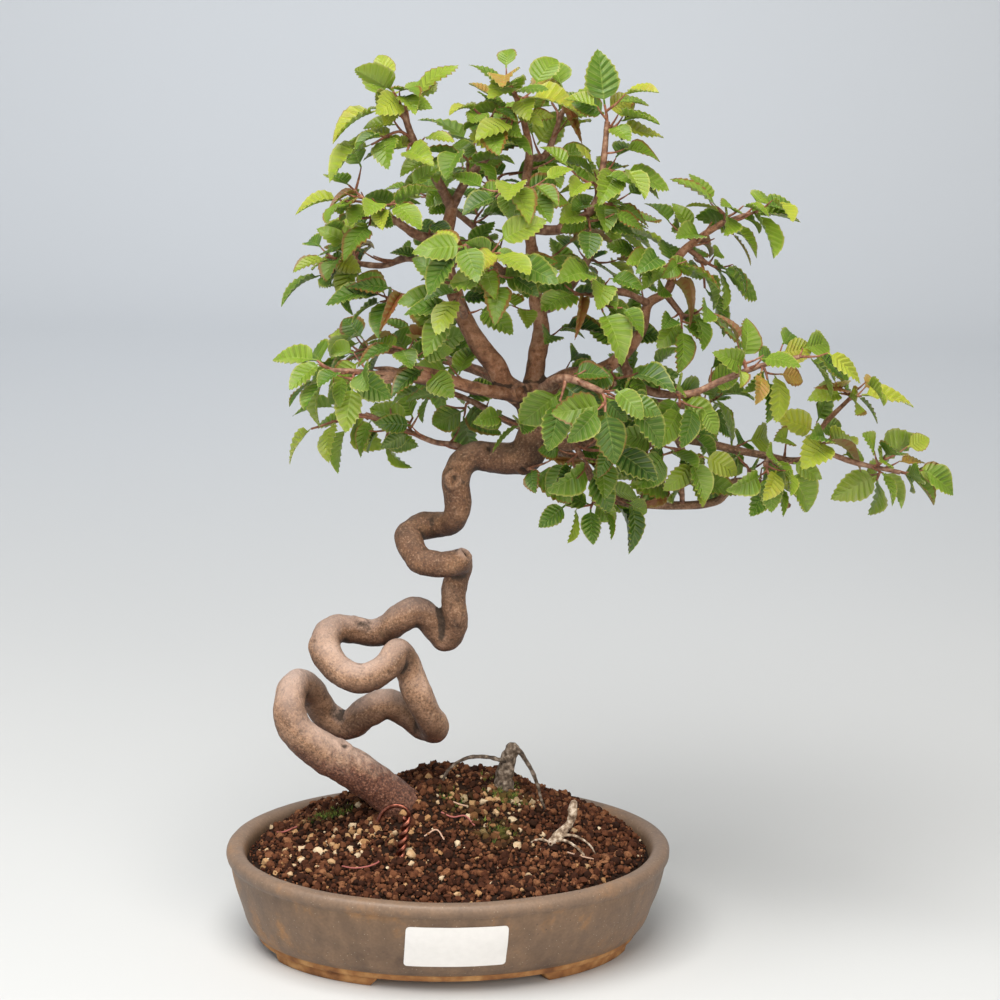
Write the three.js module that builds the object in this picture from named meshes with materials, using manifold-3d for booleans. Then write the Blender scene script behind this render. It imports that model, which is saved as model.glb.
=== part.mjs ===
// Korean hornbeam bonsai in a shallow oval stoneware pot, in millimetres, +Z up.
// The pot's long axis is X and its front is -Y. The pot's feet stand on z = 0.
//
// The coiled trunk and its main limbs grew as one piece. Each leafy spray is a piece of its own: its
// stem, its twigs and its leaves are fused, and its foot sits on the wood that carries it.

import * as THREE from "three";
import Module from "manifold-3d";

const wasm = await Module();
wasm.setup();

// Driving dimensions of the pot
const POT_SIDES = 36;
const POT_FLOOR = 10.6;
const BASE_HEIGHT = 5;
const FOOT_FROM = 20; // degrees round the oval, in each quarter
const FOOT_TO = 64;
const FOOT_HALF_AXES = [96.5, 69];
const FOOT_WIDTH = 11;
const FOOT_INSET = 1.3;
const DRAIN_RADIUS = 8;
const DRAIN_SPACING = 90;

// Each ring of the pot's wall, from the underside over the rim to the floor: half length, half width, height
const POT_WALL = [
  [96.4, 68.8, BASE_HEIGHT],
  [98.6, 71.2, 7],
  [102.6, 76.4, 14],
  [108.2, 84, 31],
  [111, 87.6, 43.5],
  [112.8, 89.8, 46.4],
  [113.2, 90.3, 49.6],
  [111.8, 88.9, 51.8],
  [109.6, 86.8, 52.3],
  [104.8, 82.2, 51.8],
  [103.4, 80.9, 50],
  [100.6, 77.4, 31],
  [90, 62, POT_FLOOR],
];

// Soil, heaped up round the foot of the trunk
const GAP = 0.3; // left between pieces that touch
const SOIL_WALL = [
  [89.4, 61.4, POT_FLOOR + GAP],
  [100.1, 76.9, 31.2],
  [102.7, 80.1, 47.6],
];
const SOIL_SHARES = [0.96, 0.74, 0.5, 0.25];
const SOIL_TOP = 48;
const MOUND_HEIGHT = 33;
const MOUND_AT = [2, 28];
const MOUND_REACH = [47, 42];

// The tree was set in the pot a little turned
const TREE_TURN = THREE.MathUtils.degToRad(-7.5);

// The trunk's line from inside the soil to the top whorl of limbs: x, y, z and radius.
// A new run starts at each sharp elbow, and the runs reach a little past it.
const TRUNK = [
  [
    [2, 10, 46, 12], [-9, 5, 58, 11.5], [-22, 0, 69, 10.8], [-33, -3, 80, 10.6], [-50, -8, 94, 10.2],
    [-66, -12, 104, 9.8], [-78, -12, 116, 8.8], [-81, -8, 127, 8.2], [-78, 2, 134, 7.5], [-71, 14, 126, 7.3],
    [-64, 19, 113, 7.5], [-53, 17, 108, 7.9], [-43, 12, 117, 7.9], [-33, 11, 122, 7.6], [-23, 14, 116, 7.4],
    [-14, 14, 109, 7.4],
  ],
  [
    [-14, 14, 109, 7.4], [-8, 4, 112, 7.5], [-12, -4, 122, 7.4], [-17, -6, 132, 7.4], [-21, -4, 143, 7.2],
    [-24, -6, 151, 7.1], [-27, -11, 156, 7],
  ],
  [
    [-27, -11, 156, 7], [-32, -16, 150, 7.3], [-43, -17, 144, 7.6], [-53, -15, 145, 7.9], [-61, -10, 152, 7.9],
    [-63, -2, 159, 7.8], [-58, 6, 162, 7.6], [-50, 9, 161, 7.4], [-41, 9, 160, 7.2], [-33, 7, 163, 7.3],
    [-26, 4, 169, 7.5], [-19, 4, 173, 7.4], [-12, 6, 169, 7.2], [-7, 8, 161, 7], [-3, 8, 158, 6.9],
  ],
  [[-3, 8, 158, 6.9], [1, 4, 167, 6.7], [0, 3, 178, 6.5], [1, 6, 188, 6.6], [3, 5, 197, 6.7]],
  [
    [3, 5, 197, 6.7], [1, -5, 201, 6.7], [-7, -11, 201, 6.7], [-16, -9, 202, 6.8], [-21, -4, 208, 7],
    [-23, 3, 212, 7], [-18, 9, 215, 6.8], [-10, 11, 216, 6.6], [-3, 7, 218, 6.6], [1, 1, 224, 6.7],
    [1, 0, 232, 6.7], [0, 0, 241, 6.8], [3, 1, 250, 7], [10, 2, 254, 7.2], [18, 2, 253, 7.5],
    [28, 1, 253, 8.2], [35, 0, 256, 9.2], [39, 0, 265, 9], [39, 0, 274, 8.4], [37, 0, 283, 7.6],
    [36, 1, 290, 6.2],
  ],
];
const ROOTED = 8; // points of the first run that reach out of the soil
const ELBOW_REACH = 0.6; // of the radius, how far a run goes on past its end
const TRUNK_STEP = 9.5;
const TRUNK_SIDES = 8;

// The main limbs: x, y, z and radius
const LIMBS = {
  leftRise: [
    [37, 0, 282, 6], [24, -3, 291, 5.6], [18, -5, 302, 5.2], [11, -6, 311, 4.8],
    [4, -4, 322, 4.3], [-2, 0, 336, 3.9], [-7, 2, 353, 3.5], [-4, 3, 377, 2.9],
  ],
  leftShelf: [
    [33, -2, 286, 4.6], [13, -12, 290, 2.9], [2, -16, 294, 2.7], [-17, -20, 300, 2.7], [-33, -22, 298, 3.2],
  ],
  heart: [
    [37, 2, 282, 6], [39, 6, 302, 4.6], [41, 8, 317, 4.1], [38, 8, 332, 3.7],
    [35, 6, 359, 3], [31, 4, 381, 2.5], [33, 2, 405, 1.9], [29, 0, 424, 1.4],
  ],
  rightRise: [
    [39, 2, 284, 5.4], [54, 0, 295, 4.1], [70, -2, 299, 3.6], [83, -2, 309, 3.1], [90, 0, 320, 2.8],
    [93, 2, 332, 2.5], [102, 4, 338, 2.2], [107, 4, 355, 2], [117, 2, 365, 1.8], [128, 0, 373, 1.5],
  ],
  rightLong: [
    [38, 0, 263, 5.4], [58, -4, 263, 3.8], [74, 0, 265, 2.7], [93, 6, 266, 2.4], [119, 10, 262, 2.2],
    [146, 8, 257, 1.9], [174, 2, 256, 1.8], [180, 0, 272, 1.4], [193, 0, 287, 1.1],
  ],
  rightLow: [
    [49, 0, 262, 3.2], [66, 12, 244, 2.7], [81, 16, 230, 2.5], [99, 18, 227, 2.3], [132, 18, 230, 2.1],
    [138, 15, 240, 1.9], [154, 13, 239, 1.7], [167, 12, 229, 1.5],
  ],
};
const LIMB_SIDES = 5;

// Each spray: the wood that carries it, its stem (x, y, z, radius) and where the foliage of
// each of its twigs ends (x, y, z)
const SPRAYS = {
  crown_left: [
    "leftRise",
    [[-13, 2, 393, 2.3], [-21, 0, 405, 2], [-29, -2, 426, 1.4]],
    [[-37, -6, 442], [-17, -2, 443], [-53, -12, 429], [-55, -18, 408], [-29, -32, 409]],
  ],
  crown_middle: [
    "leftRise",
    [[3, 6, 390, 2.2], [14, 8, 403, 1.9], [24, 10, 414, 1.4]],
    [[20, 4, 436], [0, 0, 437], [-2, -30, 415], [15, -22, 423]],
  ],
  crown_shoulder: [
    "leftRise",
    [[-19, -6, 364, 2.2], [-29, -12, 371, 1.9], [-45, -18, 382, 1.4]],
    [[-63, -4, 396], [-71, -14, 385], [-48, -34, 366], [-27, -44, 389]],
  ],
  crown_flank: [
    "leftRise",
    [[-12, 9, 348, 2.3], [-25, 15, 350, 1.9], [-38, 20, 345, 1.6], [-56, 24, 346, 1.2]],
    [[-78, 12, 352], [-82, 16, 336], [-62, 34, 325], [-55, 30, 365]],
  ],
  left_lift: ["leftRise", [[-14, -12, 340, 1.7], [-28, -20, 335, 1.3]], [[-49, -10, 330], [-15, -42, 330]]],
  left_front: ["leftRise", [[3, -26, 331, 1.8], [0, -46, 341, 1.4]], [[-8, -56, 329], [4, -62, 358]]],
  shelf_tip: [
    "leftShelf",
    [[-45, -24, 300, 1.6], [-61, -26, 301, 1.2]],
    [[-76, -20, 309], [-75, -28, 289], [-52, -44, 290]],
  ],
  shelf_middle: ["leftShelf", [[-23, -22, 309, 1.5]], [[-39, -30, 320], [-26, -4, 314]]],
  left_low: [
    "trunk",
    [[1, 14, 256, 1.6], [-11, 22, 256, 1.4], [-24, 27, 260, 1.3], [-46, 30, 268, 1.1]],
    [[-68, 36, 254], [-87, 24, 260], [-43, 34, 245], [-23, 46, 271]],
  ],
  left_thin: ["trunk", [[25, 16, 269, 1.9], [9, 24, 276, 1.6], [-6, 30, 281, 1.2]], [[-22, 40, 278], [-1, 38, 259]]],
  back_left: [
    "leftRise",
    [[12, 38, 289, 2.7], [-18, 56, 294, 2.1], [-45, 62, 295, 1.4]],
    [[-69, 62, 290], [-86, 46, 277], [-15, 74, 303], [-11, 80, 274]],
  ],
  heart_top: ["heart", [[25, -4, 434, 1.2]], [[12, -4, 445], [37, -8, 435], [19, -24, 415]]],
  heart_front: ["heart", [[30, -16, 386, 1.7], [25, -34, 393, 1.3]], [[9, -46, 384], [41, -46, 388]]],
  crown_top: ["heart", [[41, 14, 402, 1.7], [49, 18, 423, 1.3]], [[56, 16, 436], [41, 32, 436]]],
  crown_right: [
    "heart",
    [[51, -4, 369, 2.4], [65, -8, 381, 2.1], [68, -8, 396, 1.8], [70, -6, 421, 1.3]],
    [[67, -8, 440], [83, -6, 420], [88, -10, 400], [86, -18, 383], [54, -36, 399], [67, -38, 369]],
  ],
  crown_back: ["heart", [[22, 22, 376, 2], [9, 36, 396, 1.4]], [[-5, 40, 416], [17, 38, 427], [39, 52, 395]]],
  right_back: [
    "heart",
    [[50, 30, 328, 2.6], [64, 44, 347, 2], [75, 50, 370, 1.4]],
    [[64, 54, 396], [94, 36, 362], [82, 62, 339]],
  ],
  right_crest: ["rightRise", [[138, -2, 377, 1.1]], [[153, 0, 380], [138, 8, 360], [121, -6, 388]]],
  right_side: ["rightRise", [[121, 10, 351, 1.4]], [[137, 12, 343], [114, 22, 374], [125, 18, 326]]],
  right_inner: ["rightRise", [[93, -14, 352, 1.4]], [[84, -16, 364], [109, -24, 358]]],
  right_knee: ["rightRise", [[110, -8, 327, 1.4]], [[125, -10, 331], [111, -26, 315]]],
  right_front: [
    "rightRise",
    [[78, -12, 340, 1.7], [63, -20, 339, 1.3]],
    [[46, -38, 342], [68, -46, 329], [57, -40, 358]],
  ],
  right_middle: [
    "rightRise",
    [[89, -16, 294, 2.3], [112, -22, 292, 1.9], [127, -24, 299, 1.6], [146, -24, 307, 1.3], [165, -24, 312, 1.1]],
    [[178, -22, 312], [154, -32, 296], [138, -20, 317], [112, -44, 282]],
  ],
  front_shelf: ["rightRise", [[76, -30, 298, 1.5]], [[70, -50, 292], [93, -46, 307]]],
  right_lift: ["rightLong", [[196, 0, 288, 1]], [[204, 0, 290], [183, -14, 295]]],
  right_below: ["rightLong", [[152, -14, 256, 1.4]], [[154, -26, 248], [172, -14, 245]]],
  right_fill: ["rightLong", [[112, -14, 261, 1.5]], [[122, -24, 252], [93, -30, 260]]],
  right_tip: [
    "rightLong",
    [[196, 2, 255, 1.4], [220, 2, 250, 1.1]],
    [[232, 4, 247], [216, -8, 266], [190, -16, 274], [211, 12, 237]],
  ],
  low_near: ["rightLow", [[69, 6, 231, 1.3]], [[65, -4, 224], [89, 10, 219]]],
  low_middle: ["rightLow", [[113, 12, 238, 1.3]], [[121, 4, 247], [98, 6, 243]]],
  low_end: ["rightLow", [[146, 8, 248, 1.2]], [[142, 2, 257], [167, 18, 240]]],
  back_right: [
    "rightRise",
    [[62, 38, 275, 2.8], [93, 58, 272, 2.1], [124, 64, 267, 1.5]],
    [[144, 64, 280], [139, 60, 249], [93, 68, 296], [82, 66, 245]],
  ],
  back_low: ["rightLong", [[96, 26, 255, 1.6]], [[119, 42, 262], [93, 40, 237]]],
  front_right: [
    "rightRise",
    [[42, -28, 295, 2.5], [52, -48, 304, 2], [70, -60, 300, 1.4]],
    [[74, -68, 282], [96, -58, 288], [48, -60, 284]],
  ],
  front_low: ["rightLong", [[62, -18, 259, 1.5]], [[72, -30, 247], [49, -22, 251], [86, -42, 267]]],
  crown_front: [
    "heart",
    [[31, -26, 344, 2.3], [16, -48, 359, 1.8], [4, -56, 368, 1.3]],
    [[-10, -68, 361], [20, -62, 343], [25, -70, 370]],
  ],
  back_crown_left: [
    "heart",
    [[27, 40, 342, 2.3], [7, 58, 359, 1.8], [-12, 62, 373, 1.4]],
    [[-31, 66, 375], [-15, 58, 395], [-7, 74, 337], [14, 68, 377]],
  ],
  trunk_shoot: ["trunk", [[36, -8, 250, 1.1]], [[44, -12, 248]]],
  trunk_sprig: ["trunk", [[32, -8, 270, 1]], [[31, -18, 278]]],
};
const STEM_SIDES = 5;
const TWIG_RADIUS = 0.9;
const TIP_LEAF = 14; // how much of that reach the leaf at the twig's tip takes
const LEAST_TWIG = 0.5; // of the reach
const TWIG_SET_BACK = 0.35; // a twig leaves its stem this share of its own length below the nearest point
const LEADER_SINK = 2.5; // how deep the first twig starts inside the stem's end
const LONG_TWIG = 24;

// One leaf: share of its length, and half width as a share of its widest, from root to tip
const BLADE = [
  [0, 0.11],
  [0.34, 1],
  [0.55, 0.74],
  [0.66, 0.82],
  [1, 0],
];
const BLADE_HALF_WIDTH = 0.31; // of its length
const BLADE_THICKNESS = 0.8;
const ROOT_HALF = 0.9; // half the width of a leaf's root on its twig
const LEAF_LENGTH = [18, 28];
const STEEP = 0.2; // a twig with less level run than this counts as upright
const LEAF_SHARES = [0.76, 0.5]; // where leaves stand beside a twig; a short twig has only the first
const LEAF_TRIES = 12;
const LEAST_TURN = 0.4; // cosine of the most that a leaf's face turns away from its twig's
const LEAST_AIM = 0.68; // cosine of the most that a leaf turns towards its twig
const LEAF_CLEAR = 3.3; // between the sample points of two leaves
const OWN_WOOD_CLEAR = 1.1; // the same for wood of its own spray, away from its root
const WOOD_CLEAR = 2; // between a leaf's sample points and the skin of other wood
const CROWN_HEART = [30, 0, 300];
const SAMPLE_ALONG = [0.2, 0.3, 0.4, 0.5, 0.6, 0.7, 0.8, 0.9, 1];
const SAMPLE_ACROSS = [-1, -2 / 3, -1 / 3, 0, 1 / 3, 2 / 3, 1];
const WOOD_SAMPLE_STEP = 2;

// Small things in the soil, and the blank paper sticker on the pot's front
const WIRE_RADIUS = 0.9;
const WIRE_HOLE = 2;
const WIRE_LINE = [[-26, -34, 50], [-24, -33, 66], [-22, -30, 76]];
const WIRE_TURNS = 2.25;
const WIRE_STEPS = 20;
const STUMP = [[27, 22, 66, 4.4], [29, 21, 82, 3.8], [30, 20, 96, 3]];
const STUMP_ROOTS = [
  [[29, 20, 80, 1.2], [16, 12, 83, 1], [4, 2, 82, 0.8], [-2, -3, 74, 0.7]],
  [[29, 20, 84, 1.2], [42, 14, 80, 1], [52, 8, 70, 0.8], [58, 4, 58, 0.7]],
];
const PALE_ROOT = [[51, -15, 50, 2.4], [56, -12, 62, 2.2], [60, -9, 71, 1.9], [64, -6, 78, 1.2]];
const PALE_ROOTLETS = [[[56, -12, 62, 1], [64, -16, 60, 0.8], [72, -19, 50, 0.7]]];
const LABEL_CENTRE = -5;
const LABEL_HALF_LENGTH = 25;
const LABEL_FROM = 18;
const LABEL_TO = 39;
const LABEL_THICKNESS = 0.5;
const LABEL_STEPS = 8;

const UP = new THREE.Vector3(0, 0, 1);
const FRONT = new THREE.Vector3(0, -1, 0);

// Seeded draws, so that the same leaves grow each time
let seed = 4711;
function draw(low, high) {
  seed = (seed * 1664525 + 1013904223) % 4294967296;
  return low + ((high - low) * seed) / 4294967296;
}

function turned([x, y, z]) {
  return new THREE.Vector3(x, y, z).applyAxisAngle(UP, TREE_TURN);
}

// A path of the tree: points with their radii, turned as the tree stands in the pot
function pathOf(rows) {
  return rows.map((row) => ({ at: turned(row), r: row[3] }));
}

function solidOf(points, faces) {
  const vertProperties = new Float32Array(points.flatMap((p) => [p.x, p.y, p.z]));
  return new wasm.Manifold(new wasm.Mesh({ numProp: 3, vertProperties, triVerts: new Uint32Array(faces.flat()) }));
}

// Rings of equally many points, joined in order and closed flat at both ends
function skin(rings) {
  const count = rings[0].length;
  const faces = [];
  for (let i = 0; i + 1 < rings.length; i += 1)
    for (let k = 0; k < count; k += 1) {
      const a = i * count + k;
      const b = i * count + ((k + 1) % count);
      faces.push([a, b, b + count], [a, b + count, a + count]);
    }
  const last = (rings.length - 1) * count;
  for (let k = 1; k + 1 < count; k += 1) faces.push([0, k + 1, k], [last, last + k, last + k + 1]);
  return solidOf(rings.flat(), faces);
}

// The direction of a path at one of its points
function heading(path, i) {
  const before = path[Math.max(i - 1, 0)].at;
  const after = path[Math.min(i + 1, path.length - 1)].at;
  return after.clone().sub(before).normalize();
}

// A tapered bar along a path, its rings carried on without twist; grow widens it all round and at its
// ends, and its ends go on by a share of the radius
function bar(path, sides, grow = 0, reach = 0) {
  let across = new THREE.Vector3(0.36, 0.48, 0.8);
  const rings = path.map(({ at: place, r }, i) => {
    const along = heading(path, i);
    const past = grow + reach * r;
    const at = place.clone().addScaledVector(along, i === 0 ? -past : i === path.length - 1 ? past : 0);
    across = across.clone().addScaledVector(along, -across.dot(along)).normalize();
    const third = along.clone().cross(across);
    return Array.from({ length: sides }, (_, k) => {
      const angle = (2 * Math.PI * k) / sides;
      return at
        .clone()
        .addScaledVector(across, (r + grow) * Math.cos(angle))
        .addScaledVector(third, (r + grow) * Math.sin(angle));
    });
  });
  return skin(rings);
}

// The same path with a smooth curve through its points, in steps of about the given length
function smooth(path, step) {
  const curve = new THREE.CatmullRomCurve3(path.map((p) => p.at), false, "centripetal");
  const count = Math.max(2, Math.round(curve.getLength() / step));
  return Array.from({ length: count + 1 }, (_, i) => {
    const t = curve.getUtoTmapping(i / count);
    const place = t * (path.length - 1);
    const low = Math.min(Math.floor(place), path.length - 2);
    return { at: curve.getPoint(t), r: THREE.MathUtils.lerp(path[low].r, path[low + 1].r, place - low) };
  });
}

function join(solids) {
  return solids.reduce((whole, piece) => whole.add(piece));
}

// The largest body of a solid: cutting it to its seat can leave a loose scrap behind
function mainBody(solid) {
  return solid.decompose().reduce((a, b) => (a.volume() > b.volume() ? a : b));
}

// A point of an oval round the pot's middle
function ovalPoint(halfLength, halfWidth, z, angle) {
  return new THREE.Vector3(halfLength * Math.cos(angle), halfWidth * Math.sin(angle), z);
}

// A whole ring of the oval pot, or of the soil in it at a share of its size
function oval([halfLength, halfWidth, height], share = 1) {
  return Array.from({ length: POT_SIDES }, (_, k) =>
    ovalPoint(halfLength * share, halfWidth * share, height, (2 * Math.PI * k) / POT_SIDES),
  );
}

// A long curved foot under the wall, in one quarter of the oval
function foot(quarter) {
  const mirrored = quarter % 2 === 1;
  const steps = 5;
  const rings = Array.from({ length: steps + 1 }, (_, i) => {
    const share = FOOT_FROM + ((FOOT_TO - FOOT_FROM) * i) / steps;
    const angle = THREE.MathUtils.degToRad(90 * quarter + (mirrored ? 90 - share : share));
    const [halfLength, halfWidth] = FOOT_HALF_AXES;
    const edge = (inset, z) => ovalPoint(halfLength - inset, halfWidth - inset, z, angle);
    const top = BASE_HEIGHT + 1;
    return [edge(FOOT_INSET, top), edge(FOOT_INSET, 0), edge(FOOT_WIDTH, 0), edge(FOOT_WIDTH, top)];
  });
  return skin(mirrored ? rings.reverse() : rings);
}

function makePot() {
  const wall = skin(POT_WALL.map((ring) => oval(ring)));
  const feet = [0, 1, 2, 3].map(foot);
  const drains = [-1, 1].map((side) => {
    const x = (side * DRAIN_SPACING) / 2;
    return bar([-1, POT_FLOOR + 2].map((z) => ({ at: new THREE.Vector3(x, 0, z), r: DRAIN_RADIUS })), 14);
  });
  return join([wall, ...feet]).subtract(join(drains));
}

// Height of the heaped soil over a point of the pot's plan
function soilHeight(x, y) {
  const centre = turned([...MOUND_AT, 0]);
  const reach = ((x - centre.x) / MOUND_REACH[0]) ** 2 + ((y - centre.y) / MOUND_REACH[1]) ** 2;
  return SOIL_TOP + MOUND_HEIGHT * Math.exp(-reach / 2);
}

function makeSoil(cutters) {
  const wall = SOIL_WALL.map((ring) => oval(ring));
  const top = SOIL_SHARES.map((share) =>
    oval(SOIL_WALL.at(-1), share).map((p) => p.setZ(soilHeight(p.x, p.y))),
  );
  return skin([...wall, ...top]).subtract(join(cutters));
}

// The nearest point of a path to a place, as its index and the share of the way to the next point
function nearest(path, place) {
  let best = { distance: Infinity };
  for (let i = 0; i + 1 < path.length; i += 1) {
    const a = path[i].at;
    const span = path[i + 1].at.clone().sub(a);
    const share = THREE.MathUtils.clamp(place.clone().sub(a).dot(span) / span.lengthSq(), 0, 1);
    const distance = a.clone().addScaledVector(span, share).distanceTo(place);
    if (distance < best.distance) best = { distance, i, share };
  }
  return best;
}

// The point of a path at a place that nearest() found
function pointOn(path, { i, share }) {
  return {
    at: path[i].at.clone().lerp(path[i + 1].at, share),
    r: THREE.MathUtils.lerp(path[i].r, path[i + 1].r, share),
    along: path[i + 1].at.clone().sub(path[i].at).normalize(),
  };
}

// The same place moved back along the path by a length
function setBack(path, { i, share }, length) {
  let index = i;
  let left = length;
  let here = share;
  let span = path[index].at.distanceTo(path[index + 1].at);
  while (left > here * span && index > 0) {
    left -= here * span;
    index -= 1;
    here = 1;
    span = path[index].at.distanceTo(path[index + 1].at);
  }
  return { i: index, share: Math.max(here - left / span, 0) };
}

// A twig from its stem towards a place where its foliage ends: a bent line of three points, which
// starts along the stem
function twigPath(stem, spread, leader) {
  const last = { i: stem.length - 2, share: 1 };
  const near = nearest(stem, spread);
  const foot = leader ? setBack(stem, last, LEADER_SINK) : setBack(stem, near, TWIG_SET_BACK * near.distance);
  const start = pointOn(stem, foot);
  const whole = start.at.distanceTo(spread);
  const reach = Math.max(whole - TIP_LEAF, LEAST_TWIG * whole);
  const tip = start.at.clone().lerp(spread, reach / whole);
  const bend = start.at.clone().addScaledVector(start.along, 0.4 * reach).addScaledVector(UP, 0.08 * reach);
  const middle = start.at.clone().multiplyScalar(0.25).addScaledVector(bend, 0.5).addScaledVector(tip, 0.25);
  return [start.at, middle, tip].map((at) => ({ at, r: TWIG_RADIUS }));
}

// A stem and its twigs; the stem starts on the axis of the wood that carries it
function growWood([carrier, stemRows, tipRows], carriers) {
  const rows = pathOf(stemRows);
  const seat = pointOn(carriers[carrier], nearest(carriers[carrier], rows[0].at));
  const stem = [{ at: seat.at, r: Math.min(rows[0].r * 1.1, seat.r * 0.96) }, ...rows];
  const twigs = tipRows.map((row, k) => twigPath(stem, turned(row), k === 0));
  return { stem, twigs };
}

// Points along a path no further apart than the sample step, each with the wood's radius
function woodSamples(path) {
  const out = [];
  for (let i = 0; i + 1 < path.length; i += 1) {
    const count = Math.ceil(path[i].at.distanceTo(path[i + 1].at) / WOOD_SAMPLE_STEP);
    for (let k = 0; k <= count; k += 1) out.push(pointOn(path, { i, share: k / count }));
  }
  return out;
}

// Half width of a blade at a share of its length
function halfWidth(share) {
  const i = BLADE.findIndex(([end]) => end >= share);
  const [from, wide] = BLADE[Math.max(i - 1, 0)];
  const [to, next] = BLADE[Math.max(i, 1)];
  return THREE.MathUtils.lerp(wide, next, (share - from) / (to - from));
}

// A point of a leaf: it rises a little from its root and droops to its tip
function leafPoint(leaf, share, across) {
  const height = leaf.length * leaf.bend * (0.2 * share - 0.4 * share * share);
  return leaf.base
    .clone()
    .addScaledVector(leaf.along, share * leaf.length)
    .addScaledVector(leaf.side, across * leaf.length * BLADE_HALF_WIDTH)
    .addScaledVector(leaf.face, height);
}

function leafSamples(leaf) {
  return SAMPLE_ALONG.flatMap((share) =>
    SAMPLE_ACROSS.map((across) => leafPoint(leaf, share, across * halfWidth(share))),
  );
}

// Across a twig, level where it can be, and the side of it that faces up
function sideways(along) {
  const level = along.clone().cross(UP);
  return (level.length() > STEEP ? level : along.clone().cross(FRONT)).normalize();
}

// A place on a twig's middle line at a share of its length, with its directions
function twigFrame(twig, share) {
  const place = share < 0.5 ? { i: 0, share: 2 * share } : { i: 1, share: 2 * share - 1 };
  const { at } = pointOn(twig, place);
  const [first, second] = [0, 1].map((i) => pointOn(twig, { i, share: 0 }).along);
  const along = first.lerp(second, share).normalize();
  const level = sideways(twig[2].at.clone().sub(twig[0].at).normalize());
  const across = level.addScaledVector(along, -level.dot(along)).normalize();
  return { at, along, across, face: across.clone().cross(along) };
}

// A sheet of points, each with its own upward direction, given a thickness; both faces are split alike
function thicken(sheet, triangles) {
  const points = [1, -1].flatMap((side) =>
    sheet.map(({ at, face }) => at.clone().addScaledVector(face, (side * BLADE_THICKNESS) / 2)),
  );
  const count = sheet.length;
  const lower = triangles.map(([a, b, c]) => [a + count, c + count, b + count]);
  const used = new Set(triangles.flatMap(([a, b, c]) => [`${a} ${b}`, `${b} ${c}`, `${c} ${a}`]));
  const rim = [...used].map((key) => key.split(" ").map(Number)).filter(([a, b]) => !used.has(`${b} ${a}`));
  const walls = rim.flatMap(([a, b]) => [[b, a, a + count], [b, a + count, b + count]]);
  return solidOf(points, [...triangles, ...lower, ...walls]);
}

// A twig with its leaves as one thin arched sheet: a narrow rib down the middle, and each leaf's
// notched blade growing from its edge, tilted and drooping in its own way
function leafySolid(twig, leaves) {
  const sheet = [];
  const triangles = [];
  const length = twig[0].at.distanceTo(twig[2].at);
  const addPoint = (at, face) => sheet.push({ at, face }) - 1;
  const ribPoint = (share, side) => {
    const { at, across, face } = twigFrame(twig, share);
    return { share, index: addPoint(at.addScaledVector(across, side * TWIG_RADIUS), face) };
  };
  const chains = [-1, 1].map((side) => {
    const roots = leaves.filter((leaf) => leaf.beside === side).sort((a, b) => a.share - b.share);
    const chain = [ribPoint(0, side)];
    for (const leaf of roots) {
      const back = ribPoint(leaf.share - ROOT_HALF / length, side);
      const fore = ribPoint(leaf.share + ROOT_HALF / length, side);
      leaf.root = side === 1 ? [back.index, fore.index] : [fore.index, back.index];
      chain.push(back, fore);
    }
    if (!roots.some((leaf) => leaf.share === 0.5)) chain.push(ribPoint(0.5, side));
    return [...chain, ribPoint(1, side)].sort((a, b) => a.share - b.share);
  });
  const [left, right] = chains;
  let i = 0;
  let j = 0;
  while (i + 1 < left.length || j + 1 < right.length) {
    const leftNext = j + 1 === right.length || (i + 1 < left.length && left[i + 1].share < right[j + 1].share);
    if (leftNext) triangles.push([left[i].index, right[j].index, left[(i += 1)].index]);
    else triangles.push([left[i].index, right[j].index, right[(j += 1)].index]);
  }
  for (const leaf of leaves) {
    let [low, high] = leaf.beside === 0 ? [right.at(-1).index, left.at(-1).index] : leaf.root;
    for (const [share, wide] of BLADE.slice(1, -1)) {
      const next = [-wide, wide].map((across) => addPoint(leafPoint(leaf, share, across), leaf.face));
      triangles.push([low, next[0], next[1]], [low, next[1], high]);
      [low, high] = next;
    }
    triangles.push([low, addPoint(leafPoint(leaf, 1, 0), leaf.face), high]);
  }
  return thicken(sheet, triangles);
}

const grown = []; // every leaf so far, with its sample points
const wood = []; // every stem, twig, limb and trunk, with its sample points

// A leaf stands clear when its points keep their distance from all other leaves and wood
function standsClear(leaf, samples, spray) {
  const middle = leafPoint(leaf, 0.5, 0);
  const reach = leaf.length * 0.6;
  for (const other of grown) {
    if (other.middle.distanceTo(middle) > reach + other.reach + LEAF_CLEAR) continue;
    for (const p of samples)
      for (const q of other.samples) if (p.distanceToSquared(q) < LEAF_CLEAR ** 2) return null;
  }
  for (const other of wood) {
    const own = other.spray === spray;
    const least = own ? OWN_WOOD_CLEAR : WOOD_CLEAR;
    for (const q of other.samples) {
      if (q.at.distanceTo(middle) > reach + q.r + least) continue;
      for (let k = own ? SAMPLE_ACROSS.length : 0; k < samples.length; k += 1)
        if (samples[k].distanceTo(q.at) < q.r + least) return null;
    }
  }
  return { middle, reach, samples };
}

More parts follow.
